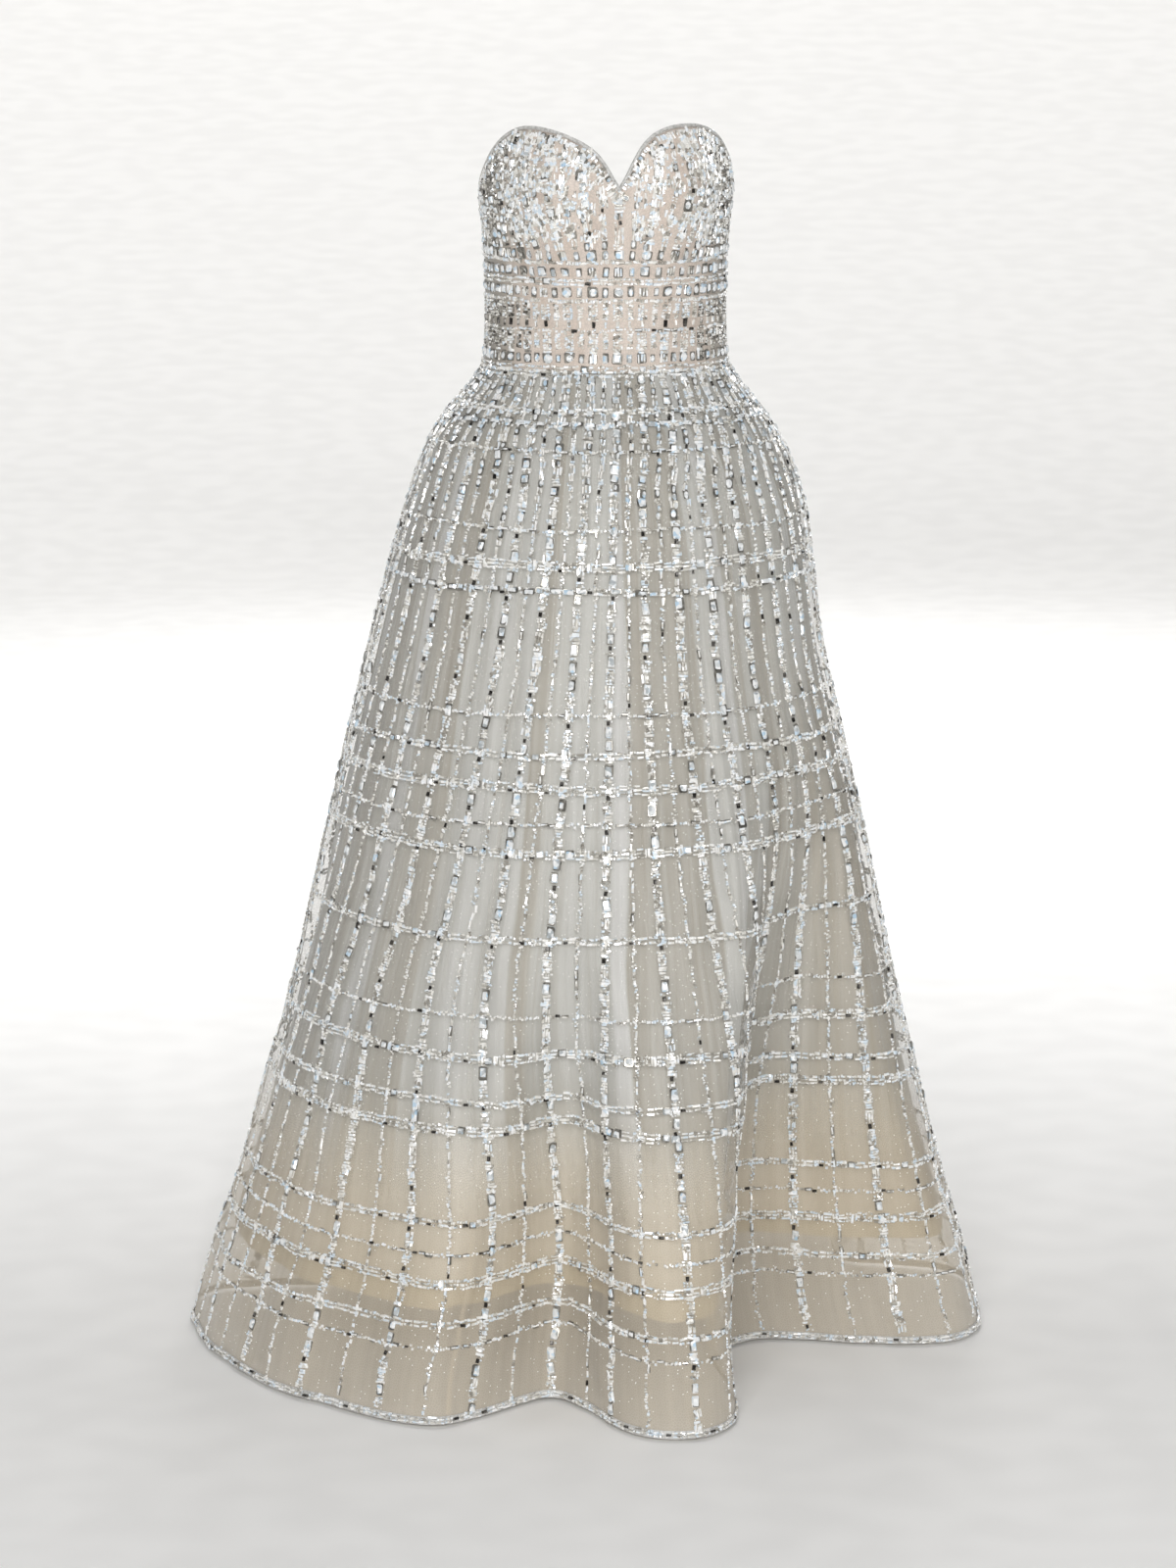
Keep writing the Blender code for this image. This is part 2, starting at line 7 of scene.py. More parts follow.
import bpy
import numpy as np
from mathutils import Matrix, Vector


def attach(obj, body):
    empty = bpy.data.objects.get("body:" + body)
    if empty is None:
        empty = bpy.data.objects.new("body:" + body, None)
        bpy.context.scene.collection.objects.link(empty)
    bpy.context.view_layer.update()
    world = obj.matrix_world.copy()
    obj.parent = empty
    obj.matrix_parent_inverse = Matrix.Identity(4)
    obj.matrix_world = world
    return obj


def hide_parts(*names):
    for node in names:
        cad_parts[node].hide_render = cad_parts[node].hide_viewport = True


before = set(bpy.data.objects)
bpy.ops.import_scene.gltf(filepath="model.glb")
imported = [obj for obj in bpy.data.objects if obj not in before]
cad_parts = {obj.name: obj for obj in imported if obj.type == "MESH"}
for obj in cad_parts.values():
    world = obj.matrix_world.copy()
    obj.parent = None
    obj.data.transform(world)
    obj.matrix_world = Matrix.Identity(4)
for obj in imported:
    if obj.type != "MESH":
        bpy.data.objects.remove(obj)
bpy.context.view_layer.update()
dressBody = "dress"
turn = 2 * math.pi

# Form, as the solids have it

bodiceForm = {
    # height, half width, front depth, back depth, cup swell
    "sections": (
        (0.000, 0.1335, 0.100, 0.098, 0.000),
        (0.020, 0.1307, 0.101, 0.097, 0.000),
        (0.060, 0.1289, 0.103, 0.097, 0.002),
        (0.100, 0.1297, 0.106, 0.099, 0.006),
        (0.140, 0.1311, 0.111, 0.101, 0.012),
        (0.180, 0.1352, 0.115, 0.103, 0.017),
        (0.205, 0.1358, 0.116, 0.104, 0.017),
        (0.230, 0.1330, 0.113, 0.104, 0.012),
        (0.262, 0.1270, 0.105, 0.104, 0.004),
    ),
    # angle from the centre front, height on the wearer's right, and on the left
    "neckline": (
        (0.0, 0.1915, 0.1915), (4.0, 0.2040, 0.2050), (8.0, 0.2180, 0.2210),
        (12.0, 0.2290, 0.2350), (17.5, 0.2385, 0.2470), (24.0, 0.2455, 0.2540),
        (31.0, 0.2510, 0.2578), (39.0, 0.2550, 0.2590), (48.0, 0.2568, 0.2580),
        (57.0, 0.2548, 0.2530), (65.0, 0.2470, 0.2440), (73.0, 0.2320, 0.2270),
        (83.0, 0.2070, 0.2040), (95.0, 0.1860, 0.1850), (110.0, 0.1695, 0.1695),
        (130.0, 0.1580, 0.1580), (150.0, 0.1520, 0.1520), (180.0, 0.1500, 0.1500),
    ),
    "cupAngle": 31.0,
    "cupHalfWidth": 32.0,
    "wall": 0.0020,
    "seamGap": 0.0003,
    "pipingRadius": 0.0020,
}

skirtForm = {
    # height, half width, front depth, back depth, lean
    "sections": (
        (0.000, 0.1335, 0.100, 0.098, 0.000),
        (-0.020, 0.1464, 0.117, 0.114, 0.000),
        (-0.040, 0.1640, 0.136, 0.133, -0.001),
        (-0.070, 0.1857, 0.160, 0.157, -0.001),
        (-0.100, 0.2005, 0.178, 0.175, 0.000),
        (-0.150, 0.2175, 0.200, 0.197, 0.000),
        (-0.220, 0.2327, 0.218, 0.216, -0.005),
        (-0.300, 0.2480, 0.236, 0.234, -0.010),
        (-0.400, 0.2715, 0.259, 0.257, -0.011),
        (-0.500, 0.2950, 0.283, 0.281, -0.011),
        (-0.600, 0.3165, 0.305, 0.303, -0.012),
        (-0.700, 0.3400, 0.330, 0.328, -0.013),
        (-0.800, 0.3660, 0.357, 0.355, -0.015),
        (-0.900, 0.3945, 0.387, 0.385, -0.017),
        (-1.000, 0.4240, 0.419, 0.417, -0.019),
        (-1.070, 0.4430, 0.440, 0.438, -0.021),
    ),
    # top angle, hem angle, flat half, right flank, left flank, depth, start, full
    "folds": (
        (-12.0, -13.5, 0.0, 17.0, 17.0, 0.128, -0.52, -0.97),
        (8.0, 6.5, 0.0, 13.0, 12.0, -0.020, -0.60, -1.00),
        (47.0, 40.5, 9.5, 21.0, 18.0, 0.225, -0.38, -1.06),
        (-44.0, -46.0, 0.0, 11.0, 11.0, 0.007, -0.60, -1.00),
        (-66.0, -68.0, 0.0, 9.0, 9.0, 0.006, -0.55, -1.00),
        (112.0, 113.0, 1.0, 14.0, 15.0, 0.105, -0.46, -1.02),
        (150.0, 152.0, 3.0, 17.0, 15.0, 0.165, -0.40, -1.04),
        (-120.0, -121.0, 4.0, 17.0, 16.0, 0.205, -0.38, -1.05),
        (-163.0, -163.0, 2.5, 13.5, 13.5, 0.130, -0.44, -1.03),
    ),
    "foldTopWidth": 0.6,
    "planSteps": 1440,
    "roundingSteps": 7,
    "hem": -1.07,
    "wall": 0.0016,
    # height, how much more cloth the front and back have than the sides
    "clothShare": ((0.0, 0.10), (-0.12, 0.0), (-0.29, -0.14), (-0.60, -0.08), (-0.90, 0.0),
                   (-1.07, 0.0)),
    "seams": (0.0, 0.09, 0.25, 0.41, 0.59, 0.75, 0.91),
}


def smoothCurve(table, column, place):
    rows = np.array(sorted(table), dtype=float)
    xs, ys = rows[:, 0], rows[:, column]
    place = np.clip(np.asarray(place, dtype=float), xs[0], xs[-1])
    slopes = np.gradient(ys, xs)
    cell = np.clip(np.searchsorted(xs, place, side="right") - 1, 0, len(xs) - 2)
    span = xs[cell + 1] - xs[cell]
    s = (place - xs[cell]) / span
    return ((1 + 2 * s) * (1 - s) ** 2 * ys[cell] + s * (1 - s) ** 2 * span * slopes[cell]
            + s * s * (3 - 2 * s) * ys[cell + 1] - s * s * (1 - s) * span * slopes[cell + 1])


def straightCurve(table, column, place):
    rows = np.array(sorted(table), dtype=float)
    return np.interp(place, rows[:, 0], rows[:, column])


def ellipseRadius(angle, halfWidth, frontDepth, backDepth):
    ahead = np.cos(np.radians(angle))
    depth = np.where(ahead > 0, frontDepth, backDepth)
    return 1.0 / np.sqrt((np.sin(np.radians(angle)) / halfWidth) ** 2 + (ahead / depth) ** 2)


def sectionRadius(form, angle, height):
    return ellipseRadius(angle, *(smoothCurve(form["sections"], c, height) for c in (1, 2, 3)))


def bump(distance, halfWidth):
    return np.cos(np.clip(np.abs(distance) / halfWidth, 0, 1) * math.pi / 2) ** 2


def foldedPlan(height):
    angle = np.linspace(-180.0, 180.0, skirtForm["planSteps"] + 1)
    radius = sectionRadius(skirtForm, angle, height)
    topWidth = skirtForm["foldTopWidth"]
    for topAngle, hemAngle, flat, rightFlank, leftFlank, depth, start, full in skirtForm["folds"]:
        grown = np.clip((start - height) / (start - full), 0, 1)
        grown = grown * grown * (3 - 2 * grown)
        width = topWidth + (1 - topWidth) * grown
        away = (angle - topAngle - (hemAngle - topAngle) * grown + 180.0) % 360.0 - 180.0
        beyond = np.maximum(np.abs(away) - flat * width, 0)
        flank = np.where(away > 0, leftFlank, rightFlank) * width
        radius = radius - depth * grown * bump(beyond, flank)
    turned = np.radians(angle)
    return (radius * np.sin(turned) + smoothCurve(skirtForm["sections"], 4, height),
            -radius * np.cos(turned))


def lengthAlong(x, y):
    return np.concatenate(([0.0], np.cumsum(np.hypot(np.diff(x), np.diff(y)))))


@functools.lru_cache(maxsize=None)
def skirtPlan(height):
    x, y = foldedPlan(height)
    length = lengthAlong(x, y)
    even = np.linspace(0.0, length[-1], skirtForm["planSteps"] + 1)
    x, y = np.interp(even, length, x)[:-1], np.interp(even, length, y)[:-1]
    reach = range(-skirtForm["roundingSteps"], skirtForm["roundingSteps"] + 1)
    for _ in range(3):
        x = sum(np.roll(x, k) for k in reach) / len(reach)
        y = sum(np.roll(y, k) for k in reach) / len(reach)
    x, y = np.append(x, x[0]), np.append(y, y[0])
    length = lengthAlong(x, y)
    ahead = np.flatnonzero((y[:-1] < 0) & (x[:-1] * x[1:] <= 0))[0]
    front = length[ahead]
    share = np.where(length <= front, 0.5 * length / front,
                     0.5 + 0.5 * (length - front) / (length[-1] - front))
    return share, x, y


def skirtRow(place, height):
    share, x, y = skirtPlan(float(height))
    place = place - np.floor(place)
    return np.stack([np.interp(place, share, x), np.interp(place, share, y),
                     np.full(place.shape, float(height))], axis=-1)


def spreadBy(table, around, height):
    share = straightCurve(table, 1, height)
    return around + share * np.sin(2 * turn * around) / (2 * turn)


def waistAngle(around):
    points = skirtRow(spreadBy(skirtForm["clothShare"], around, 0.0), 0.0)
    return np.degrees(np.arctan2(points[..., 0], -points[..., 1]))


def necklineHeight(angle):
    right, left = (smoothCurve(bodiceForm["neckline"], side, np.abs(angle)) for side in (1, 2))
    return np.where(angle < 0, right, left)


def bodicePoints(angle, height):
    radius = sectionRadius(bodiceForm, angle, height)
    swell = smoothCurve(bodiceForm["sections"], 4, height)
    radius = radius + swell * bump(np.abs(angle) - bodiceForm["cupAngle"],
                                   bodiceForm["cupHalfWidth"])
    turned = np.radians(angle)
    return np.stack([radius * np.sin(turned), -radius * np.cos(turned), height + 0 * angle],
                    axis=-1)


def unit(vectors):
    return vectors / np.linalg.norm(vectors, axis=-1)[..., None]


def pathLengths(path):
    steps = np.linalg.norm(np.diff(path, axis=0), axis=1)
    return np.concatenate([[0.0], np.cumsum(steps)])


def outwardOf(points):
    along = np.gradient(points, axis=1)
    along[:, 0] = along[:, -1] = points[:, 1] - points[:, -2]
    return unit(np.cross(along, -np.gradient(points, axis=0)))


# A fine map of each surface: rows go down (or up the bodice), columns go round once
mapSize = {"columns": 1440, "skirtRows": 215, "bodiceRows": 80}
mapPlace = np.linspace(0.0, 1.0, mapSize["columns"] + 1)
skirtHeights = np.linspace(0.0, skirtForm["hem"], mapSize["skirtRows"])
skirtMap = np.array([skirtRow(mapPlace, h) for h in skirtHeights])
skirtOut = outwardOf(skirtMap)

# Soft ripples of the outer cloth between its beaded lines, in metres
ripples = {
    "waves": ((23, 0.4, 0.0011), (37, 2.1, 0.0009), (58, 4.0, 0.0006)),
    "start": -0.10,
    "full": -0.60,
    "levelWave": 0.21,
}
rippleGrown = np.clip((ripples["start"] - skirtHeights)
                      / (ripples["start"] - ripples["full"]), 0, 1)[:, None]
ripple = sum(depth * np.sin(turn * count * mapPlace[None, :] + phase
                            + 1.3 * np.sin(turn * skirtHeights[:, None] / ripples["levelWave"]))
             for count, phase, depth in ripples["waves"])
skirtMap = skirtMap + skirtOut * (ripple * rippleGrown)[:, :, None]
skirtOut = outwardOf(skirtMap)
print("skirt map made")

bodiceAngle = waistAngle(mapPlace)
bodiceAngle[0], bodiceAngle[-1] = -180.0, 180.0
bodiceRise = np.linspace(0.0, 1.0, mapSize["bodiceRows"])
bodiceTop = necklineHeight(bodiceAngle)
bodiceMap = np.array([bodicePoints(bodiceAngle, rise * bodiceTop) for rise in bodiceRise])
bodiceOut = -outwardOf(bodiceMap)
# in metres; the girth turns a share of one turn into a distance
seamGroove = {"depth": 0.0007, "width": 0.0045, "girth": 0.75}
for seam in skirtForm["seams"][1:]:
    away = np.abs(mapPlace - seam) * seamGroove["girth"]
    groove = seamGroove["depth"] * bump(away, seamGroove["width"])
    bodiceMap = bodiceMap - bodiceOut * groove[None, :, None]
print("bodice map made")


def sampleMap(grid, row, column):
    row = np.clip(row, 0, grid.shape[0] - 1.001)
    column = np.mod(column, 1.0) * (grid.shape[1] - 1)
    r, c = np.floor(row).astype(int), np.clip(np.floor(column).astype(int), 0, grid.shape[1] - 2)
    fr, fc = (row - r)[..., None], (column - c)[..., None]
    return ((grid[r, c] * (1 - fc) + grid[r, c + 1] * fc) * (1 - fr)
            + (grid[r + 1, c] * (1 - fc) + grid[r + 1, c + 1] * fc) * fr)


def onSkirt(place, height):
    row = height / skirtForm["hem"] * (mapSize["skirtRows"] - 1)
    return sampleMap(skirtMap, row, place), sampleMap(skirtOut, row, place)


def onBodice(angle, height):
    # The map is by place, so the angle is turned into one first
    place = np.interp(angle, bodiceAngle, mapPlace)
    row = height / necklineHeight(angle) * (mapSize["bodiceRows"] - 1)
    return sampleMap(bodiceMap, row, place), sampleMap(bodiceOut, row, place)


# Meshes

def finishPiece(name, mesh, material, smooth=True):
    mesh.polygons.foreach_set("use_smooth", np.full(len(mesh.polygons), smooth))
    for item in material if isinstance(material, (list, tuple)) else [material]:
        mesh.materials.append(item)
    piece = bpy.data.objects.new(name, mesh)
    bpy.context.scene.collection.objects.link(piece)
    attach(piece, dressBody)
    return piece


def meshFrom(name, points, corners, starts):
    mesh = bpy.data.meshes.new(name)
    mesh.vertices.add(len(points))
    mesh.vertices.foreach_set("co", np.ascontiguousarray(points, dtype=np.float32).ravel())
    mesh.loops.add(len(corners))
    mesh.loops.foreach_set("vertex_index", np.asarray(corners, dtype=np.int32))
    mesh.polygons.add(len(starts))
    mesh.polygons.foreach_set("loop_start", np.asarray(starts, dtype=np.int32))
    mesh.update(calc_edges=True)
    return mesh


def clothTube(name, grid, around, down, material, closed=True, flip=False, lined=False):
    # grid is rows by columns; a closed one joins its last column to its first, and a lined
    # one its last row to its first
    rows, columns = grid.shape[:2]
    spans = columns if closed else columns - 1
    r, c = np.meshgrid(np.arange(rows if lined else rows - 1), np.arange(spans), indexing="ij")
    below = (r + 1) % rows
    n = (c + 1) % columns
    quads = np.stack([r * columns + c, below * columns + c, below * columns + n,
                      r * columns + n], axis=-1).reshape(-1, 4)
    edge = np.append(around, 1.0) if closed else around
    us = np.stack([edge[c], edge[c], edge[c + 1], edge[c + 1]], axis=-1).reshape(-1, 4)
    level = np.append(down, down[-1] + 0.01)
    vs = np.stack([level[r], level[r + 1], level[r + 1], level[r]], axis=-1).reshape(-1, 4)
    if flip:
        quads, us, vs = quads[:, ::-1], us[:, ::-1], vs[:, ::-1]
    mesh = meshFrom(name, grid.reshape(-1, 3), quads.ravel(), np.arange(len(quads)) * 4)
    layer = mesh.uv_layers.new(name="cloth")
    layer.data.foreach_set("uv", np.stack([us, vs], axis=-1).astype(np.float32).ravel())
    return finishPiece(name, mesh, material)


def pieceArea(piece):
    return sum(face.area for face in piece.data.polygons)


# Materials

def linear(hexColour):
    parts = [int(hexColour[k:k + 2], 16) / 255 for k in (1, 3, 5)]
    return tuple(p / 12.92 if p <= 0.04045 else ((p + 0.055) / 1.055) ** 2.4
                 for p in parts) + (1.0,)


def node(tree, kind, inputs=None, stops=None, **settings):
    # A node given as an input stands for its first output in use
    made = tree.nodes.new("ShaderNode" + kind)
    for name, value in settings.items():
        setattr(made, name, value)
    for name, value in (inputs or {}).items():
        if isinstance(value, bpy.types.Node):
            value = next(socket for socket in value.outputs if socket.enabled)
        if isinstance(value, bpy.types.NodeSocket):
            tree.links.new(value, made.inputs[name])
        else:
            made.inputs[name].default_value = value
    if stops:
        ramp = made.color_ramp
        while len(ramp.elements) < len(stops):
            ramp.elements.new(0.5)
        for element, (place, colour) in zip(ramp.elements, stops):
            element.position, element.color = place, linear(colour)
    return made


def newMaterial(name):
    material = bpy.data.materials.new(name)
    material.use_nodes = True
    tree = material.node_tree
    tree.nodes.clear()
    return material, tree


def finishMaterial(tree, **inputs):
    # Two words in one name stand for a socket's name, as BaseColor for Base Color
    sockets = {"BaseColor": "Base Color", "SheenWeight": "Sheen Weight"}
    shader = node(tree, "BsdfPrincipled", {sockets.get(key, key): value
                                           for key, value in inputs.items()})
    node(tree, "OutputMaterial", {"Surface": shader})


def stretched(tree, vector, sizes):
    # One unit of the pattern is this many millimetres each way, or this many along each axis
    sizes = sizes if isinstance(sizes, tuple) else (sizes,) * 3
    return node(tree, "Mapping", {"Vector": vector, "Scale": tuple(1000.0 / s for s in sizes)})


print("materials")
clothRound = {"skirt": 3.46, "bodice": 0.78}     # metres of cloth in one turn of the UV map


def clothMaterial(name, part):
    skin, tree = newMaterial(name)
    uv = node(tree, "TexCoord").outputs["UV"]
    place = node(tree, "Mapping", {"Vector": uv, "Scale": (clothRound[part], 1.0, 1.0)})
    return skin, tree, uv, place


# Soft nylon tulle, knitted as a fine net: see-through, a little denser where its threads
# bunch, with tiny glitter specks that catch the light. Its long streaks are partly that density
# and partly painted shade. Towards the hem it turns its own warmer beige and covers more, which is
# painted shade of the dim inside behind it.
tulleLook = {
    "stops": ((0.35, "#c6c2b8"), (0.65, "#d3d0c8")),
    # Towards the hem: the net's warmer beige, partly its own and partly painted shade of the dim
    # inside
    "hemBeigeShade": "#ddd0ba",
    "glitter": "#fbfbf8",
    "cover": (0.31, 0.37),
    "hemShadeCover": 0.17,        # painted shade: more cover towards the hem for the dim inside behind the net
    "hem": (-0.93, -0.74),
    "streak": (11.0, 260.0, 10.0),
    "netSize": 2.7,          # real holes are 1.5 mm, too fine to show
    "speckSpacing": 5.0,
    "speckSize": 0.11,
    "speckShare": 0.90,
}


def tulleMaterial():
    skin, tree, _, place = clothMaterial("softNylonTulle", "skirt")
    look = tulleLook
    streak = node(tree, "TexNoise", {"Vector": stretched(tree, place, look["streak"]),
                                     "Scale": 1.0, "Detail": 2.0, "Roughness": 0.6},
                  noise_dimensions="2D")
    net = node(tree, "TexVoronoi", {"Vector": stretched(tree, place, look["netSize"]),
                                    "Scale": 1.0}, feature="DISTANCE_TO_EDGE",
               voronoi_dimensions="2D")
    thread = node(tree, "MapRange", {"Value": net, "From Min": 0.02, "From Max": 0.16,
                                     "To Min": 1.0, "To Max": 0.75})
    cover = node(tree, "MapRange", {"Value": streak, "From Min": 0.3, "From Max": 0.7,
                                    "To Min": look["cover"][0], "To Max": look["cover"][1]})
    cover = node(tree, "Math", {0: cover, 1: thread}, operation="MULTIPLY")
    height = node(tree, "SeparateXYZ", {"Vector": place}).outputs["Y"]
    # Towards the hem the net covers more, which is painted shade of the dim inside, and turns its
    # own warmer beige
    hemShadeLayer, hemBeigeShadeShare = (
        node(tree, "MapRange", {"Value": height, "From Min": look["hem"][0],
                                "From Max": look["hem"][1], "To Min": most, "To Max": 0.0},
             interpolation_type="SMOOTHSTEP") for most in (look["hemShadeCover"], 1.0))
    cover = node(tree, "Math", {0: cover, 1: hemShadeLayer}, operation="ADD")
    specks = node(tree, "TexVoronoi", {"Vector": stretched(tree, place, look["speckSpacing"]),
                                       "Scale": 1.0}, voronoi_dimensions="2D")
    near = node(tree, "Math", {0: specks, 1: look["speckSize"]}, operation="LESS_THAN")
    pick = node(tree, "SeparateColor", {"Color": specks.outputs["Color"]})
    chosen = node(tree, "Math", {0: pick, 1: look["speckShare"]}, operation="GREATER_THAN")
    glitter = node(tree, "Math", {0: near, 1: chosen}, operation="MULTIPLY")
    alpha = node(tree, "Math", {0: cover, 1: glitter}, operation="MAXIMUM")
    # Streak tones: partly the net's density, partly painted shade
    colour = node(tree, "ValToRGB", {"Fac": streak}, stops=look["stops"])
    # Mixes in the hem's warmer beige, partly painted shade, then the glitter
    for share, tone in ((hemBeigeShadeShare, "hemBeigeShade"), (glitter, "glitter")):
        colour = node(tree, "Mix", {"Factor": share, "A": colour, "B": linear(look[tone])},
                      data_type="RGBA")
    bumps = node(tree, "Bump", {"Height": streak, "Strength": 0.25, "Distance": 0.001})
    finishMaterial(tree, BaseColor=colour, Roughness=0.62, IOR=1.53, SheenWeight=0.25,
                   Alpha=alpha, Normal=bumps)
    return skin


# Silk organza, woven crisp and pressed into uneven pleats: whitish grey, with a turned hem. Each
# pleat's tone is partly the cloth, lighter where a pleat lies over itself, and partly painted
# shade for its slant. Painted shade also lies low down and in the deep fold.
organzaLook = {
    "stops": ((0.08, "#a99f8e"), (0.30, "#c6c1b6"), (0.50, "#dadad6"), (0.85, "#e8e8e8")),
    "pleat": 46.0,
    "pleatWaver": (300.0, 420.0, 300.0),
    "fine": (9.0, 700.0, 8.0),
    "cover": (0.76, 0.93),
    "insideShadeColour": "#ded3bf",  # unlined below here: painted shade of the dim taupe inside
    "low": (-0.86, -0.70),
    "lowWarmth": 0.75,
    "insideShadeCover": 0.96,
    "foldShadeEdges": ((0.60, 0.66), (0.84, 0.76)),   # painted shade in the deep fold between these
    "foldShade": (-0.50, -0.22),
    "foldShadeWarmth": 0.62,
    "foldShadeColour": "#beb097",
    "hemColour": "#c0b295",
    "hem": -0.955,
    "hemDepth": 0.024,
}


def organzaMaterial():
    skin, tree, _, place = clothMaterial("silkOrganza", "skirt")
    look = organzaLook
    across, height, _ = node(tree, "SeparateXYZ", {"Vector": place}).outputs
    # Each pleat has its own tone from edge to edge: partly painted shade for its own slant
    waver = node(tree, "TexNoise", {"Vector": stretched(tree, place, look["pleatWaver"]),
                                    "Scale": 1.0, "Detail": 1.0}, noise_dimensions="2D")
    count = node(tree, "Math", {0: across, 1: 1000.0 / look["pleat"], 2: waver},
                 operation="MULTIPLY_ADD")
    pleats = node(tree, "TexVoronoi", {"W": count, "Scale": 1.0, "Smoothness": 0.45},
                  voronoi_dimensions="1D", feature="SMOOTH_F1")
    broad = node(tree, "SeparateColor", {"Color": pleats.outputs["Color"]})
    fine = node(tree, "TexNoise", {"Vector": stretched(tree, place, look["fine"]),
                                   "Scale": 1.0, "Detail": 2.0, "Roughness": 0.6},
                noise_dimensions="2D")
    both = node(tree, "Mix", {"Factor": 0.30, "A": broad, "B": fine}, data_type="FLOAT")
    hem = node(tree, "Math", {0: height, 1: look["hem"] + look["hemDepth"]},
               operation="LESS_THAN")
    # Painted shade: low down for the dim inside below the lining, and in the deep fold
    low, foldShadeByHeight = (
        node(tree, "MapRange", {"Value": height, "From Min": look[part][0],
                                "From Max": look[part][1], "To Min": look[part + "Warmth"],
                                "To Max": 0.0}, interpolation_type="SMOOTHSTEP")
        for part in ("low", "foldShade"))
    # The deep fold's painted shade lies between its edges, round the cloth
    share = node(tree, "Math", {0: across, 1: clothRound["skirt"]}, operation="DIVIDE")
    foldShade = foldShadeByHeight
    for start, end in look["foldShadeEdges"]:
        edge = node(tree, "MapRange", {"Value": share, "From Min": start, "From Max": end},
                    interpolation_type="SMOOTHSTEP")
        foldShade = node(tree, "Math", {0: foldShade, 1: edge}, operation="MULTIPLY")
    colour = node(tree, "ValToRGB", {"Fac": both}, stops=look["stops"])
    # Mixes in the painted shade low down and in the deep fold, then the turned hem's own colour
    for factor, tone in ((low, "insideShadeColour"), (foldShade, "foldShadeColour"), (hem, "hemColour")):
        colour = node(tree, "Mix", {"Factor": factor, "A": colour, "B": linear(look[tone])},
                      data_type="RGBA")
    cover = node(tree, "MapRange", {"Value": both, "From Min": 0.1, "From Max": 0.9,
                                    "To Min": look["cover"][0], "To Max": look["cover"][1]})
    # Nearly opaque low down, under the painted shade of the inside
    lower = node(tree, "Mix", {"Factor": low, "A": cover, "B": look["insideShadeCover"]},
                 data_type="FLOAT")
    alpha = node(tree, "Math", {0: lower, 1: hem}, operation="MAXIMUM")
    bumps = node(tree, "Bump", {"Height": fine, "Strength": 0.4, "Distance": 0.0015})
    finishMaterial(tree, BaseColor=colour, Roughness=0.5, IOR=1.55, SheenWeight=0.35,
                   Alpha=alpha, Normal=bumps)
    return skin


# Polyester taffeta, woven close: opaque and pale, with faint slubs across and long soft streaks
# of painted shade for the organza's pleats over it.
taffetaLook = {"stops": ((0.3, "#c6c2ba"), (0.65, "#dedddb")), "slub": (90.0, 1.6, 90.0),
               "broad": (60.0, 900.0, 60.0)}


def taffetaMaterial():
    skin, tree, _, place = clothMaterial("polyesterTaffeta", "skirt")
    slub, broad = (
        node(tree, "TexNoise", {"Vector": stretched(tree, place, taffetaLook[part]),
                                "Scale": 1.0, "Detail": 2.0}, noise_dimensions="2D")
        for part in ("slub", "broad"))
    # Long vertical streaks of painted shade, for the pleats over the lining
    ground = node(tree, "ValToRGB", {"Fac": broad}, stops=taffetaLook["stops"])
    bumps = node(tree, "Bump", {"Height": slub, "Strength": 0.2, "Distance": 0.0006})
    finishMaterial(tree, BaseColor=ground, Roughness=0.48, IOR=1.54, SheenWeight=0.15,
                   Normal=bumps)
    return skin


# Net mounted on satin: a blush ground with a fine grey net over it, greyer at the sides and back,
# partly where the small beads are sewn close and partly painted shade where the bodice turns from
# the light.
mountedLook = {"stops": ((0.35, "#ccbdb1"), (0.68, "#d8ccc2")), "grey": "#8f8b82",
               "netSize": 2.6, "cloud": (16.0, 60.0, 16.0), "side": (0.11, 0.20)}


def mountedMaterial():
    skin, tree, uv, place = clothMaterial("tulleMountedOnSatin", "bodice")
    look = mountedLook
    net = node(tree, "TexVoronoi", {"Vector": stretched(tree, place, look["netSize"]),
                                    "Scale": 1.0}, feature="DISTANCE_TO_EDGE")
    cloud = node(tree, "TexNoise", {"Vector": stretched(tree, place, look["cloud"]),
                                    "Scale": 1.0, "Detail": 3.0})
    ground = node(tree, "ValToRGB", {"Fac": cloud}, stops=look["stops"])
    off = node(tree, "Math", {0: node(tree, "SeparateXYZ", {"Vector": uv}), 1: 0.5},
               operation="SUBTRACT")
    off = node(tree, "Math", {0: off}, operation="ABSOLUTE")
    # Greyer from the sides round the back: partly the closer beads, partly painted shade
    side = node(tree, "MapRange", {"Value": off, "From Min": look["side"][0],
                                   "From Max": look["side"][1], "To Min": 0.0,
                                   "To Max": 0.85}, interpolation_type="SMOOTHSTEP")
    thread = node(tree, "MapRange", {"Value": net, "From Min": 0.02, "From Max": 0.14,
                                     "To Min": 0.3, "To Max": 0.0})
    greyed = node(tree, "Math", {0: side, 1: thread}, operation="MAXIMUM")
    colour = node(tree, "Mix", {"Factor": greyed, "A": ground, "B": linear(look["grey"])},
                  data_type="RGBA")
    bumps = node(tree, "Bump", {"Height": net, "Strength": 0.3, "Distance": 0.0006})
    finishMaterial(tree, BaseColor=colour, Roughness=0.5, IOR=1.54, SheenWeight=0.2,
                   Normal=bumps)
    return skin


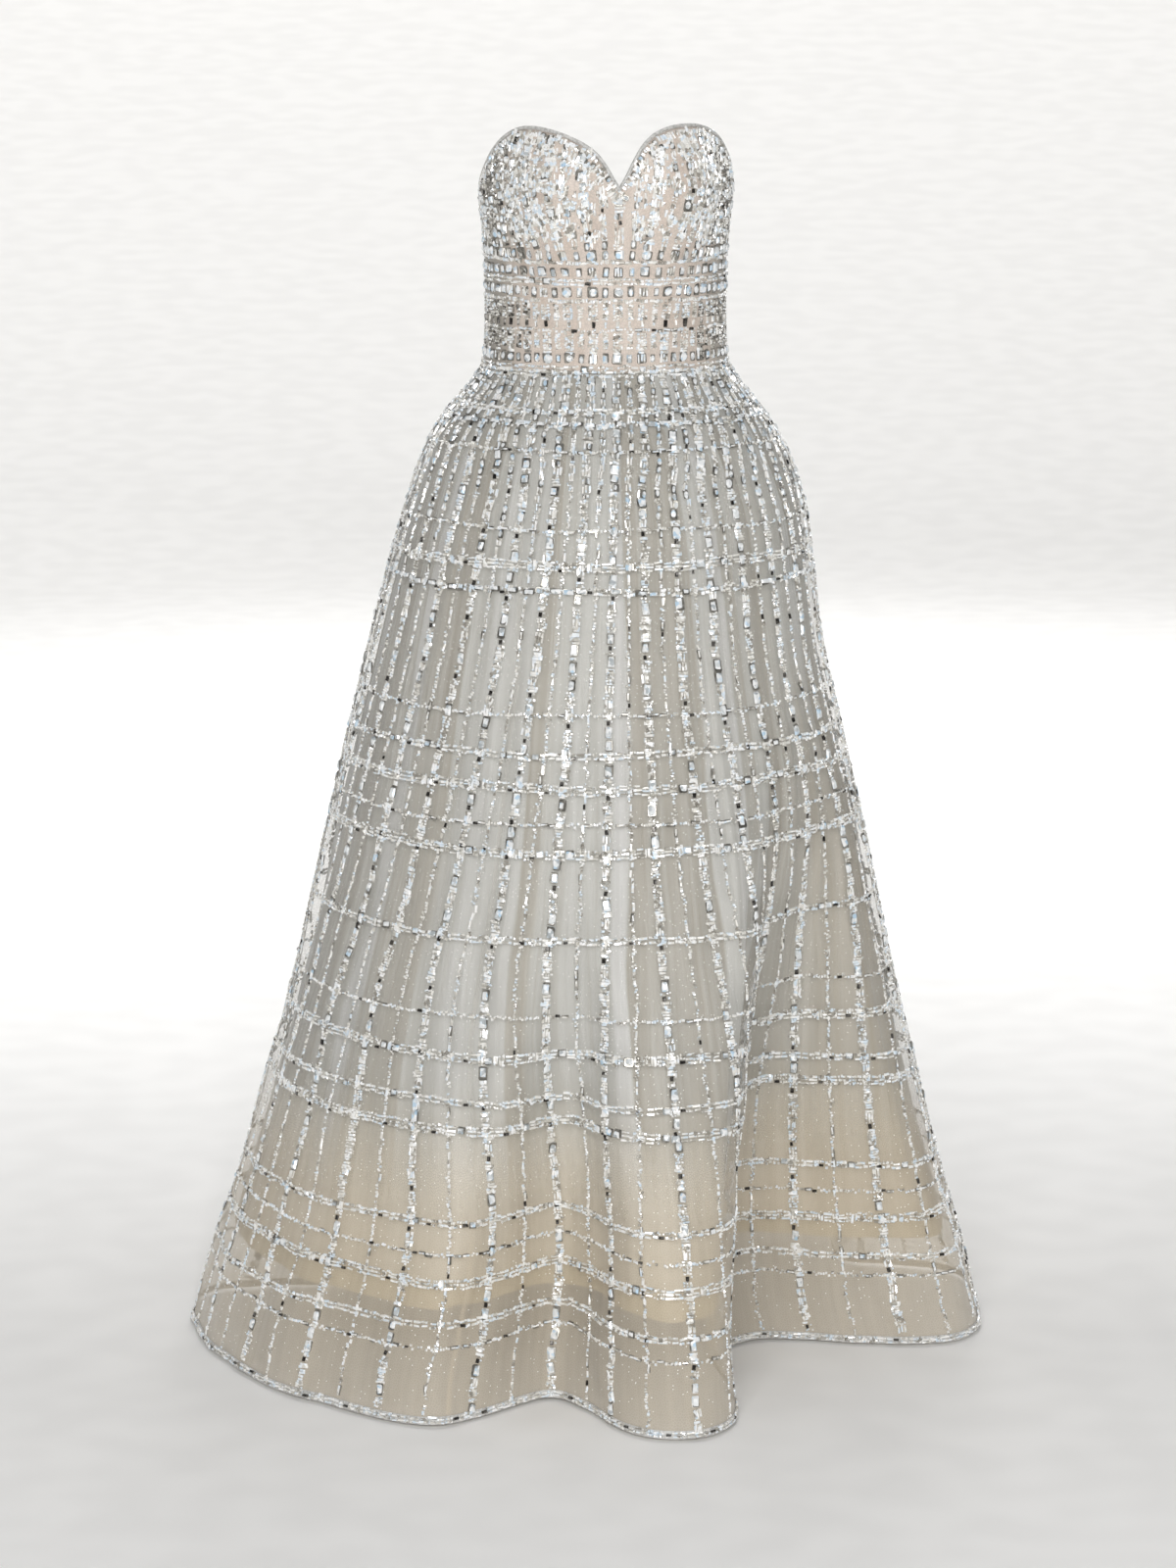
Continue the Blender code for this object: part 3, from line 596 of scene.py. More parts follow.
# Plain materials have one texture for tone and bumps: its size is in millimetres
plainLooks = {
    # Duchesse satin, woven smooth and rolled into piping: silver grey, a soft long gloss.
    "rolledSatin": {"size": 3.0, "detail": 2.0, "stops": ((0.3, "#9d9b97"), (0.6, "#c9c8c5")),
                    "bumps": (0.3, 0.0005),
                    "shader": {"Roughness": 0.36, "IOR": 1.54, "SheenWeight": 0.2}},
    # Beads: silver-lined glass is drawn tube with foil inside; crystal is moulded and cut; the
    # dark ones are jet glass with a mirror back; smoked glass is drawn from grey melt; the
    # settings are
    # pressed and plated. On silver-lined beads and crystals the tone varies at random from bead to
    # bead:
    # the white and cool blue tones are painted glints and reflections, the greyest partly painted
    # shade.
    "silverLined": {"cell": 4.0, "stops": ((0.06, "#a09c93"), (0.20, "#d3d0c8"),
                                           (0.45, "#f1efea"), (0.70, "#ffffff"),
                                           (0.94, "#dfeaf3")),
                    "shader": {"Metallic": 0.15, "Roughness": 0.12, "IOR": 1.52}},
    # White and pale blue tones: painted glints and reflections
    "cutCrystal": {"cell": 4.0, "stops": ((0.10, "#b9bfc2"), (0.35, "#eef1f2"),
                                          (0.80, "#ffffff"), (0.95, "#c4ddf0")),
                   "shader": {"Metallic": 0.2, "Roughness": 0.06, "IOR": 1.52}},
    "jetMirror": {"cell": 3.0, "stops": ((0.25, "#262422"), (0.6, "#403d39"),
                                         (0.85, "#66635f")),
                  "shader": {"Metallic": 0.5, "Roughness": 0.14, "IOR": 1.52}},
    "smokedLined": {"cell": 3.4, "stops": ((0.15, "#56534e"), (0.45, "#8f8c85"),
                                           (0.75, "#bfbcb5"), (0.93, "#eceae6")),
                    "shader": {"Metallic": 0.25, "Roughness": 0.14, "IOR": 1.52}},
    "platedSetting": {"cell": 3.0, "stops": ((0.3, "#77756f"), (0.7, "#9c9992")),
                      "shader": {"Metallic": 0.8, "Roughness": 0.3, "IOR": 1.52}},
    # Polyester zip tape, woven as a narrow twill: matt, with a rib every millimetre or so.
    "wovenPolyesterTape": {"rib": 7.0, "stops": ((0.2, "#a89a85"), (0.8, "#c2b6a3")),
                           "bumps": (0.5, 0.0004), "shader": {"Roughness": 0.75, "IOR": 1.5}},
    # Zinc alloy, die cast and nickel plated: bright, with fine tumbling marks.
    "nickelPlatedZinc": {"size": (0.6, 0.6, 4.0), "detail": 3.0, "bumps": (0.15, 0.0001),
                         "stops": ((0.3, "#b9b6ae"), (0.7, "#dedbd3")),
                         "worn": (0.16, 0.38), "shader": {"Metallic": 1.0}},
    # Nylon filament, drawn and wound into the zip's coil, is smooth and half clear.
    "woundNylonCoil": {"size": 1.2, "detail": 1.0, "stops": ((0.3, "#a2998a"), (0.7, "#bdb5a7")),
                       "shader": {"Roughness": 0.3, "IOR": 1.54}},
    # Polyester sewing thread is spun, so it is matt with a fine twist.
    "spunPolyesterThread": {"size": 0.8, "detail": 1.0,
                            "stops": ((0.3, "#b5ad9e"), (0.7, "#d8d2c6")),
                            "shader": {"Roughness": 0.65, "IOR": 1.54}},
}
beadSkinNames = ("silverLined", "cutCrystal", "jetMirror", "smokedLined", "platedSetting")


def plainMaterial(name):
    skin, tree = newMaterial(name)
    look = plainLooks[name]
    place = node(tree, "TexCoord").outputs["Object"]
    if "cell" in look:
        cells = node(tree, "TexVoronoi", {"Vector": stretched(tree, place, look["cell"]),
                                          "Scale": 1.0})
        pattern = node(tree, "SeparateColor", {"Color": cells.outputs["Color"]}).outputs["Red"]
    elif "rib" in look:
        pattern = node(tree, "TexWave", {"Vector": stretched(tree, place, look["rib"]),
                                         "Scale": 1.0, "Distortion": 0.4},
                       bands_direction="Z").outputs["Fac"]
    else:
        pattern = node(tree, "TexNoise", {"Vector": stretched(tree, place, look["size"]),
                                          "Scale": 1.0, "Detail": look["detail"]}).outputs["Fac"]
    inputs = {"BaseColor": node(tree, "ValToRGB", {"Fac": pattern}, stops=look["stops"])}
    if "worn" in look:
        inputs["Roughness"] = node(tree, "MapRange", {
            "Value": pattern, "To Min": look["worn"][0], "To Max": look["worn"][1]})
    if "bumps" in look:
        inputs["Normal"] = node(tree, "Bump", {
            "Height": pattern, "Strength": look["bumps"][0], "Distance": look["bumps"][1]})
    finishMaterial(tree, **inputs, **look["shader"])
    return skin


softTulle, organza, taffeta = tulleMaterial(), organzaMaterial(), taffetaMaterial()
mounted, satin = mountedMaterial(), plainMaterial("rolledSatin")
beadSkins = [plainMaterial(name) for name in beadSkinNames]
zipMetal = plainMaterial("nickelPlatedZinc")
for nodeName, skin in (("zip_tape", plainMaterial("wovenPolyesterTape")),
                       ("zip_slider", zipMetal), ("zip_pull", zipMetal)):
    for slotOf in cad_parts[nodeName].material_slots:
        slotOf.material = skin

# Cloth pieces

print("cloth")
panelNames = ("back_right", "side_back_right", "side_front_right", "front", "side_front_left",
              "side_back_left", "back_left")
layerNames = ("back_right", "front", "back_left")


def layerGrid(heights, columns, inwards):
    around = np.linspace(0.0, 1.0, columns, endpoint=False)
    points, outward = onSkirt(around[None, :] + 0 * heights[:, None],
                              heights[:, None] + 0 * around[None, :])
    return around, points - outward * inwards(around[None, :], heights[:, None])[:, :, None]


def hangingCloth(name, layer, material, inwards):
    heights = np.linspace(layer.get("top", -0.0003), layer["hem"], layer["rows"])
    around, grid = layerGrid(heights, layer["columns"], inwards)
    return clothTube(name, grid, around, heights, material)


outerSkirt = {"rows": 56, "columns": 660, "flat": (3.46, 1.13), "area": 2.29,
              "hem": skirtForm["hem"]}
skirtCloth = hangingCloth("skirt_tulle", outerSkirt, softTulle,
                          lambda a, h: 0 * a + 0 * h - skirtForm["wall"] / 2)
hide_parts(*("skirt_" + name for name in panelNames))

# French seams inside the gores: two thicknesses more, so they show as faint double lines
seamStrip = {"width": 0.0055, "inside": 0.0009, "rows": 64}
for index, seam in enumerate(skirtForm["seams"]):
    heights = np.linspace(-0.002, skirtForm["hem"] + 0.010, seamStrip["rows"])
    place = spreadBy(skirtForm["clothShare"], seam, heights)
    middle, outward = onSkirt(place, heights)
    ahead, _ = onSkirt(place + 0.001, heights)
    across = unit(ahead - middle)
    sides = np.array([-0.5, -0.17, 0.17, 0.5]) * seamStrip["width"]
    grid = np.stack([middle + across * s + outward * (skirtForm["wall"] / 2 - seamStrip["inside"])
                     for s in sides], axis=1)
    clothTube("skirt_seam_%d" % index, grid,
                                 np.linspace(0, 0.0016, len(sides)), heights,
                                 softTulle, closed=False)

organzaSkirt = {
    "rows": 36, "columns": 1100, "flat": (3.35, 1.01), "area": 1.84,
    "ease": ((0.0, 0.0017), (-0.015, 0.0040), (-0.045, 0.0070), (-0.100, 0.0085),
             (-0.955, 0.0105)),
    "pleatDepth": ((0.0, 0.0), (-0.045, 0.0008), (-0.100, 0.0035), (-0.955, 0.0045)),
    "pleats": 32,
    "wander": ((3, 1.0, 0.30), (7, 2.6, 0.22)),     # count, phase, share of a pleat
    "uneven": 0.28,
    "finePleats": 111,
    "fineShare": 0.0007 / 0.0045,
    "hem": -0.955,
}


def organzaInwards(a, h):
    phase = organzaSkirt["pleats"] * a + 0.10 * np.sin(turn * h / 0.7) + sum(
        share * np.sin(turn * count * a + start) for count, start, share in organzaSkirt["wander"])
    size = 1 + organzaSkirt["uneven"] * (np.sin(turn * 5 * a + 0.7) - 1)
    pleat = (0.5 - 0.5 * np.cos(turn * phase)) * size
    fine = 0.5 + 0.5 * np.sin(turn * organzaSkirt["finePleats"] * a
                              + 2.0 * np.sin(turn * 4 * a) + 0.8 * np.sin(turn * h / 0.4))
    depth = straightCurve(organzaSkirt["pleatDepth"], 1, h)
    return (straightCurve(organzaSkirt["ease"], 1, h)
            + depth * (pleat + organzaSkirt["fineShare"] * fine))


organzaCloth = hangingCloth("underskirt_organza", organzaSkirt, organza, organzaInwards)
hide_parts(*("underskirt_" + name for name in layerNames))

liningSkirt = {
    "rows": 32, "columns": 360, "flat": (2.9, 0.86), "area": 1.29,
    "ease": ((0.0, 0.0032), (-0.018, 0.0075), (-0.060, 0.0150), (-0.150, 0.0225),
             (-0.800, 0.0270)),
    "hem": -0.80,
}
liningCloth = hangingCloth("slip_lining", liningSkirt, taffeta,
                           lambda a, h: 0 * a + straightCurve(liningSkirt["ease"], 1, h))
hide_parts(*("slip_lining_" + name for name in layerNames))

bodiceShell = {"rows": 30, "columns": 360, "flat": (0.84, 0.26), "area": 0.154}


def shellGrid(offset, rises, around):
    angle = np.interp(around, mapPlace, bodiceAngle)[None, :] + 0 * rises[:, None]
    points, outward = onBodice(angle, rises[:, None] * necklineHeight(angle) * 0.9999)
    return points + outward * offset


# Up the outside, over the top edge and down the inside, in one closed skin
around = np.linspace(0.0, 1.0, bodiceShell["columns"], endpoint=False)
rises = np.linspace(0.0, 1.0, bodiceShell["rows"])
half = bodiceForm["wall"] / 2
outside, inside = shellGrid(half, rises, around), shellGrid(-half, rises, around)
waistLift = np.array([0.0, 0.0, bodiceForm["seamGap"] / 2])
outside[0] += waistLift
inside[0] += waistLift
grid = np.concatenate([outside, inside[::-1]])
down = np.concatenate([rises, rises[::-1] + 1.2]) * 0.2
bodiceCloth = clothTube("bodice_tulle", grid, around, down, mounted, flip=True,
                        lined=True)
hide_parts(*("bodice_" + name for name in panelNames))

# Rolled satin piping along the top edge
pipingSides, pipingSteps = 8, 540
place = np.linspace(0.0008, 0.9992, pipingSteps)
angle = np.interp(place, mapPlace, bodiceAngle)
edge = bodicePoints(angle, necklineHeight(angle))
run = np.hypot(*np.gradient(edge[:, :2], axis=0).T)
slope = np.abs(np.gradient(edge[:, 2])) / run
radius = bodiceForm["pipingRadius"]
edge[:, 2] += (radius + bodiceForm["seamGap"]) * np.sqrt(1 + slope ** 2)
along = unit(np.gradient(edge, axis=0))
sideways = edge * (1, 1, 0)
sideways = unit(sideways - along * np.sum(sideways * along, axis=1)[:, None])
upward = np.cross(along, sideways)
turns = np.linspace(0, turn, pipingSides, endpoint=False)
grid = np.stack([edge + radius * (math.cos(t) * sideways + math.sin(t) * upward)
                 for t in turns], axis=1)
piping = clothTube("neckline_piping", grid, turns / turn, place, satin)
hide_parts("neckline_piping")

# The hem's tape, which its beads are sewn on
hemTape = {"top": skirtForm["hem"] + 0.008, "hem": skirtForm["hem"], "proud": 0.0011,
           "columns": 720, "rows": 3}
hemStrip = hangingCloth("hem_trim", hemTape, satin,
                        lambda a, h: 0 * a + 0 * h - skirtForm["wall"] / 2 - hemTape["proud"])
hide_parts("hem_trim")

# Sewing and the zip's teeth

print("sewing")
coil, thread = plainMaterial("woundNylonCoil"), plainMaterial("spunPolyesterThread")
blockFaces = np.array(((0, 2, 3, 1), (4, 5, 7, 6), (0, 1, 5, 4), (2, 6, 7, 3), (0, 4, 6, 2),
                       (1, 3, 7, 5)))


def blockRow(name, spots, along, outward, size, material, slot):
    # One block stands on each spot; size is its width, length and thickness
    corners = size * np.array([(x, y, z) for z in (0, 1) for y in (-0.5, 0.5)
                               for x in (-0.5, 0.5)])
    points = (spots[:, None] + corners[:, :1] * np.cross(along, outward)[:, None]
              + corners[:, 1:2] * along[:, None] + corners[:, 2:] * outward[:, None])
    quads = np.arange(len(spots))[:, None, None] * len(corners) + blockFaces
    mesh = meshFrom(name, points.reshape(-1, 3), quads.ravel(),
                    np.arange(len(spots) * len(blockFaces)) * 4)
    return finishPiece(name, mesh, material, smooth=False)


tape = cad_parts["zip_tape"]
tapeSpots = np.unique(np.round([tape.matrix_world @ v.co for v in tape.data.vertices], 5), axis=0)


def tapeLine(offset, start, pitch):
    # Spots up the tape's inner face, and there the way along it and the way into the dress
    near = tapeSpots[np.abs(tapeSpots[:, 0] - offset) < 0.003]
    rows = near[np.argsort(near[:, 2])].reshape(-1, 2, 3)
    rows = np.take_along_axis(rows, np.argsort(rows[:, :, 1:2], axis=1), axis=1)
    inner, outer = rows[:, 0], rows[:, 1]
    steps, length = np.diff(inner, axis=0), pathLengths(inner)
    at = np.arange(start, length[-1] - 0.004, pitch)
    spots, inward = (np.stack([np.interp(at, length, values[:, k]) for k in range(3)], axis=1)
                     for values in (inner, inner - outer))
    along = unit(steps[np.searchsorted(length, at) - 1])
    inward = unit(inward - along * np.sum(along * inward, axis=1)[:, None])
    return spots, along, inward


zipTeeth = {"pitch": 0.0014, "aside": 0.0009, "size": (0.0022, 0.0008, 0.0012)}
stitch = {"pitch": 0.0034, "size": (0.0005, 0.0026, 0.0003), "tapeOffset": 0.006}
sides = []
for side in (-1, 1):
    spots, along, inward = tapeLine(0.0, 0.004 + (side + 1) * zipTeeth["pitch"] / 4,
                                    zipTeeth["pitch"])
    sides.append((spots + np.cross(along, inward) * side * zipTeeth["aside"], along, inward))
blockRow("zip_teeth", *(np.concatenate(part) for part in zip(*sides)), zipTeeth["size"], coil,
         "zip_tape")
sides = [tapeLine(side * stitch["tapeOffset"], 0.004, stitch["pitch"]) for side in (-1, 1)]
blockRow("zip_stitches", *(np.concatenate(part) for part in zip(*sides)), stitch["size"], thread,
         "zip_tape")

# The organza's hem is turned up and sewn along its top
top = organzaSkirt["hem"] + organzaLook["hemDepth"]
_, grid = layerGrid(np.array([top + 0.0005, top - 0.0005]),
                    int(organzaSkirt["flat"][0] / stitch["pitch"]), organzaInwards)
along = unit(np.roll(grid[0], -1, axis=0) - np.roll(grid[0], 1, axis=0))
outward = unit(np.cross(along, grid[0] - grid[1]))
organzaStitches = blockRow("underskirt_stitches", grid.mean(axis=0), along, outward,
                           stitch["size"], thread, "underskirt_organza")

# Beadwork

print("beads")

# Each kind of bead: its corners (x across the thread, y along it, z out of the cloth, for a
# bead of size 1), its faces and its material
ringTurns = [(math.cos(turn * (k + 0.5) / 8), math.sin(turn * (k + 0.5) / 8)) for k in range(8)]
cutRing = [(0.5, 0.41), (0.38, 0.5), (-0.38, 0.5), (-0.5, 0.41), (-0.5, -0.41), (-0.38, -0.5),
           (0.38, -0.5), (0.5, -0.41)]


def cutStone(ring, table, thick):
    corners = [(x, y, 0.0) for x, y in ring] + [(x * table, y * table, thick) for x, y in ring]
    faces = [(k, (k + 1) % 8, 8 + (k + 1) % 8, 8 + k) for k in range(8)]
    return corners, faces + [tuple(range(8, 16)), tuple(range(7, -1, -1))]


seedCorners = [(x, y, 0.0) for x, y in ((-0.5, -0.5), (0.5, -0.5), (0.5, 0.5), (-0.5, 0.5))]
seedCorners += [(x * 0.6, y * 0.6, 0.8) for x, y, _ in seedCorners]
seedFaces = [(0, 1, 5, 4), (1, 2, 6, 5), (2, 3, 7, 6), (3, 0, 4, 7), (4, 5, 6, 7), (3, 2, 1, 0)]
bugleCorners = [(x, y, z) for y in (-0.5, 0.5)
                for x, z in ((-0.5, 0.0), (0.5, 0.0), (0.3, 0.8), (-0.3, 0.8))]
bugleFaces = [(0, 1, 2, 3), (7, 6, 5, 4), (1, 5, 6, 2), (3, 2, 6, 7), (0, 3, 7, 4), (1, 0, 4, 5)]
ovalRing = [(0.54 * x, 0.54 * y) for x, y in ringTurns]
beadKinds = {
    # name: (corners, faces), thickness in mm, material
    "seed": ((seedCorners, seedFaces), 2.0, "silverLined"),
    "bugle": ((bugleCorners, bugleFaces), 2.0, "silverLined"),
    "dark": ((bugleCorners, bugleFaces), 2.2, "jetMirror"),
    "oval": (cutStone(ovalRing, 0.6, 0.8), 3.2, "cutCrystal"),
    "baguette": (cutStone(cutRing, 0.62, 0.8), 3.0, "cutCrystal"),
    "setting": (cutStone(cutRing, 0.9, 0.5), 1.6, "platedSetting"),
    "smokeSeed": ((seedCorners, seedFaces), 2.0, "smokedLined"),
    "smokeBugle": ((bugleCorners, bugleFaces), 2.0, "smokedLined"),
}
kindNames = list(beadKinds)


def framed(stone, across, along, width, length):
    return [("setting", across, along, width + 0.9, length + 0.9),
            (stone, across, along, width, length)]


# Blocks of beads for each run: length in mm, how often, and beads as
# (kind, across, along, width across, length along), all in mm
def upright(offsets, along, width, length):
    return [("bugle", x, along, width, length) for x in offsets]


def level(rows, width, height, across=0.0):
    return [("bugle", across, y, width, height) for y in rows]


def seeds(offsets, rows, size):
    return [("seed", x, y, size, size * 0.95) for x in offsets for y in rows]


wideBlocks = (
    (13.8, 0.10, framed("baguette", 0, 6.7, 7.4, 11.4)),
    (9.4, 0.07, upright((-3.1, 0, 3.1), 4.6, 2.7, 8.2)),
    (6.0, 0.20, level((1.5, 4.4), 9.8, 2.5)),
    (3.2, 0.13, level((1.5,), 7.4, 2.5, 0.6)),
    (5.9, 0.25, seeds((-3.2, 0.1, 3.3), (1.5, 4.4), 2.9)),
    (3.0, 0.15, seeds((-4.3, -1.4, 1.5, 4.4), (1.5,), 2.8)),
    (6.6, 0.10, [("dark", 0.8, 3.3, 3.8, 4.6), ("seed", -3.4, 2.0, 2.6, 2.6)]),
)
narrowBlocks = (
    (8.6, 0.46, [("seed", x, y, 3.1, 2.6) for x, y in ((0.4, 1.4), (-0.4, 4.3), (0.3, 7.1))]),
    (8.2, 0.15, upright((0,), 4.0, 2.8, 7.2)),
    (10.6, 0.06, [("setting", 0, 5.2, 3.8, 9.8), ("bugle", 0, 5.2, 2.7, 8.8)]),
    (6.0, 0.25, [("seed", x, y, 2.7, 2.6) for x, y in ((-1.3, 1.4), (1.3, 2.8), (-0.6, 5.0))]),
    (6.2, 0.03, [("dark", 0, 3.0, 2.6, 4.6)]),
    (3.0, 0.05, []),
)
thinBlocks = (
    (8.6, 0.46, [("seed", x, y, 3.2, 2.6) for x, y in ((0.4, 1.4), (-0.4, 4.3), (0.2, 7.1))]),
    (8.6, 0.24, [("setting", 0, 4.2, 3.5, 8.0), ("bugle", 0, 4.2, 2.5, 7.2)]),
    (6.4, 0.06, [("dark", 0, 3.1, 3.0, 4.8)]),
    (6.0, 0.24, [("seed", -1.4, 1.5, 3.0, 2.8), ("seed", 1.4, 4.3, 3.0, 2.8)]),
)
brightBlocks = (
    (8.1, 0.6, [("seed", 0, y, 4.4, 2.6) for y in (1.35, 4.05, 6.75)]),
    (8.2, 0.4, upright((0,), 4.0, 4.0, 7.6)),
)
midBlocks = (
    (8.6, 0.36, upright((-2.2, 2.2), 4.1, 3.0, 7.4)),
    (6.0, 0.50, seeds((-2.2, 2.2), (1.5, 4.5), 3.3)),
    (6.6, 0.06, [("dark", 1.6, 3.2, 3.0, 4.8)] + seeds((-2.1,), (1.8, 4.7), 2.8)),
    (9.2, 0.08, framed("baguette", 0, 4.5, 5.6, 7.2)),
)
longBlocks = midBlocks[1:] + (
    (13.4, 0.4, framed("baguette", 0, 6.6, 5.0, 11.2)),
)
broadBlocks = (
    (9.2, 0.32, upright((-3.8, 0, 3.8), 4.4, 2.6, 8.0)),
    (6.0, 0.44, seeds((-3.8, 0, 3.8), (1.5, 4.5), 2.9)),
    (6.2, 0.10, level((1.6, 4.6), 10.0, 2.5)),
    (6.8, 0.07, [("dark", 3.1, 3.3, 3.0, 4.8)] + seeds((-3.9, -0.6), (1.8, 4.8), 2.8)),
    (10.6, 0.07, framed("baguette", 0, 5.2, 7.4, 8.2)),
)
# Closer and larger work, for the hips and the cups
closeBlocks = (
    (9.2, 0.20, upright((-3.4, 0, 3.4), 4.5, 2.9, 8.2)),
    (11.0, 0.14, framed("baguette", 0, 5.4, 8.0, 9.4)),
    (12.0, 0.08, framed("oval", -0.3, 5.8, 7.6, 10.4)),
    (5.9, 0.20, seeds((-3.6, -0.1, 3.4), (1.5, 4.4), 3.1)),
    (6.0, 0.18, level((1.5, 4.4), 9.6, 2.5)),
    (8.8, 0.12, framed("oval", -2.4, 4.3, 4.2, 7.6) + upright((2.9,), 4.3, 2.7, 7.4)),
    (6.4, 0.07, [("dark", 1.2, 3.2, 3.8, 4.8)] + seeds((-3.2,), (1.7, 4.5), 2.8)),
)
closeNarrowBlocks = (
    (8.6, 0.34, upright((-1.5, 1.5), 4.2, 2.4, 7.6)),
    (6.0, 0.32, seeds((-1.5, 1.5), (1.5, 4.5), 2.7)),
    (9.2, 0.20, framed("oval", 0, 4.5, 4.4, 8.0)),
    (6.0, 0.06, [("dark", 0, 3.0, 3.0, 4.6)]),
    (3.2, 0.08, level((1.6,), 5.0, 2.4)),
)
bandKinds = {"thin": thinBlocks, "bright": brightBlocks, "mid": midBlocks, "long": longBlocks,
             "broad": broadBlocks}


rng = np.random.default_rng(2711)


def makeRun(blocks, length, first=None, firstLength=0.0):
    # The first blocks are used up to firstLength, and the others after it
    rows, at = [], rng.uniform(-beadLay["headStart"], 0.0)
    lastDark = at - rng.uniform(0, beadLay["darkGap"])
    while at < length * 1000:
        table = first if first and at < firstLength * 1000 else blocks
        edges = np.cumsum([b[1] for b in table])
        pick = int(np.searchsorted(edges, rng.random() * edges[-1]))
        size, _, beads = table[min(pick, len(table) - 1)]
        if any(bead[0] == "dark" for bead in beads):
            if at - lastDark < beadLay["darkGap"]:
                continue
            lastDark = at
        sway = rng.normal(0, beadLay["sway"])
        for kind, across, along, width, long in beads:
            if 0 < at + along < length * 1000:
                rows.append((kindNames.index(kind), across + sway, at + along, width, long))
        at += size
    return np.array(rows)


def buildTray(name, tray):
    kinds, centre, across, along, outward, width, length = (
        np.concatenate(part) for part in zip(*tray))
    allPoints, allCorners, allStarts, allSkins = [], [], [], []
    pointBase = cornerBase = 0
    for index, ((corners, faces), thick, skin) in enumerate(beadKinds.values()):
        mine = kinds == index
        count = int(mine.sum())
        if not count:
            continue
        corners = np.array(corners)
        tilt = rng.normal(0, beadLay["tilt"], (count, 2))
        ease = rng.normal(1, beadLay["sizeRange"], (count, 1))
        w = unit(outward[mine] + across[mine] * tilt[:, :1] + along[mine] * tilt[:, 1:])
        u = across[mine] + along[mine] * rng.normal(0, beadLay["spin"], (count, 1))
        u = unit(u - w * np.sum(u * w, axis=1)[:, None])
        v = np.cross(w, u)
        size = np.stack([width[mine] * ease[:, 0], length[mine] * ease[:, 0],
                         np.full(count, thick)], axis=-1) / 1000
        local = corners[None] * size[:, None, :]
        base = centre[mine] + outward[mine] * beadLay["clear"]
        points = (base[:, None] + local[:, :, :1] * u[:, None]
                  + local[:, :, 1:2] * v[:, None] + local[:, :, 2:] * w[:, None])
        one = np.concatenate([np.array(f) for f in faces])
        starts = np.cumsum([0] + [len(f) for f in faces])[:-1]
        steps = np.arange(count)[:, None]
        allPoints.append(points.reshape(-1, 3))
        allCorners.append((pointBase + steps * len(corners) + one[None]).ravel())
        allStarts.append((cornerBase + steps * len(one) + starts[None]).ravel())
        allSkins.append(np.full(count * len(faces), beadSkinNames.index(skin)))
        pointBase += count * len(corners)
        cornerBase += count * len(one)
    mesh = meshFrom(name, *(np.concatenate(part) for part in (allPoints, allCorners, allStarts)))
    mesh.polygons.foreach_set("material_index", np.concatenate(allSkins).astype(np.int32))
    print(name, "beads", len(kinds), "triangles", len(mesh.loops) - 2 * len(mesh.polygons))
    return finishPiece(name, mesh, beadSkins, smooth=False)


beadLay = {"clear": 0.0001, "tilt": 0.13, "spin": 0.06, "sizeRange": 0.10, "shift": 0.00040,
           "sway": 0.55, "missing": 0.06, "darkGap": 34.0, "headStart": 4.0}
lineSpread = {
    # height, how far the lines stand apart at the centre front over an even spacing
    "table": ((0.262, 0.12), (0.0, 0.12), (-0.05, -0.05), (-0.115, -0.22), (-0.29, -0.20),
              (-0.52, -0.07), (-0.62, -0.02), (-0.80, 0.0), (-1.07, 0.0)),
    # height, how far round the lines have turned, as a share of one turn
    "twist": ((0.0, -0.002), (-0.04, -0.005), (-0.116, -0.0117), (-0.307, -0.016),
              (-0.503, -0.0185), (-1.07, -0.019)),
    "count": 32,
    "skirt": (-0.0045, skirtForm["hem"] + 0.009, 260),     # from, to and steps
    "bodice": (0.007, 0.262, 200),
}
skirtLift = skirtForm["wall"] / 2
closeLength = (0.13, 0.20)     # of each line from the waist down, in metres


def layRun(tray, rows, path, outward, lift):
    # path is a fine line of points; rows say how far along it and to its side each bead goes
    if not len(rows):
        return
    lost = (rows[:, 0] == kindNames.index("seed")) & (rng.random(len(rows)) < beadLay["missing"])
    rows = rows[~lost]
    length = pathLengths(path)
    at = rows[:, 2] / 1000 + rng.normal(0, beadLay["shift"], len(rows))
    cell = np.clip(np.searchsorted(length, at, side="right") - 1, 0, len(path) - 2)
    part = ((at - length[cell]) / (length[cell + 1] - length[cell]))[:, None]
    centre = path[cell] * (1 - part) + path[cell + 1] * part
    out = unit(outward[cell] * (1 - part) + outward[cell + 1] * part)
    along = path[np.minimum(cell + 2, len(path) - 1)] - path[np.maximum(cell - 1, 0)]
    along = unit(along - out * np.sum(along * out, axis=1)[:, None])
    across = np.cross(along, out)
    side = rows[:, 1] / 1000 + rng.normal(0, beadLay["shift"], len(rows))
    centre = centre + across * side[:, None] + out * lift
    tray.append((rows[:, 0].astype(int), centre, across, along, out, rows[:, 3], rows[:, 4]))


def layBlocks(tray, blocks, path, outward, lift, length=None):
    layRun(tray, makeRun(blocks, length or pathLengths(path)[-1]), path, outward, lift)


trays = collections.defaultdict(list)
heights = np.linspace(*lineSpread["skirt"])
for index in range(2 * lineSpread["count"]):
    wide = index % 2 == 0
    around = index / (2 * lineSpread["count"])
    place = spreadBy(lineSpread["table"], around, heights)
    path, outward = onSkirt(place + straightCurve(lineSpread["twist"], 1, heights), heights)
    if wide:
        name = "beads_wide_lines_front" if 0.25 <= around <= 0.75 else "beads_wide_lines_back"
    else:
        name = "beads_narrow_lines"
    rows = makeRun(wideBlocks if wide else narrowBlocks, pathLengths(path)[-1],
                   closeBlocks if wide else closeNarrowBlocks, rng.uniform(*closeLength))
    layRun(trays[name], rows, path, outward, skirtLift)

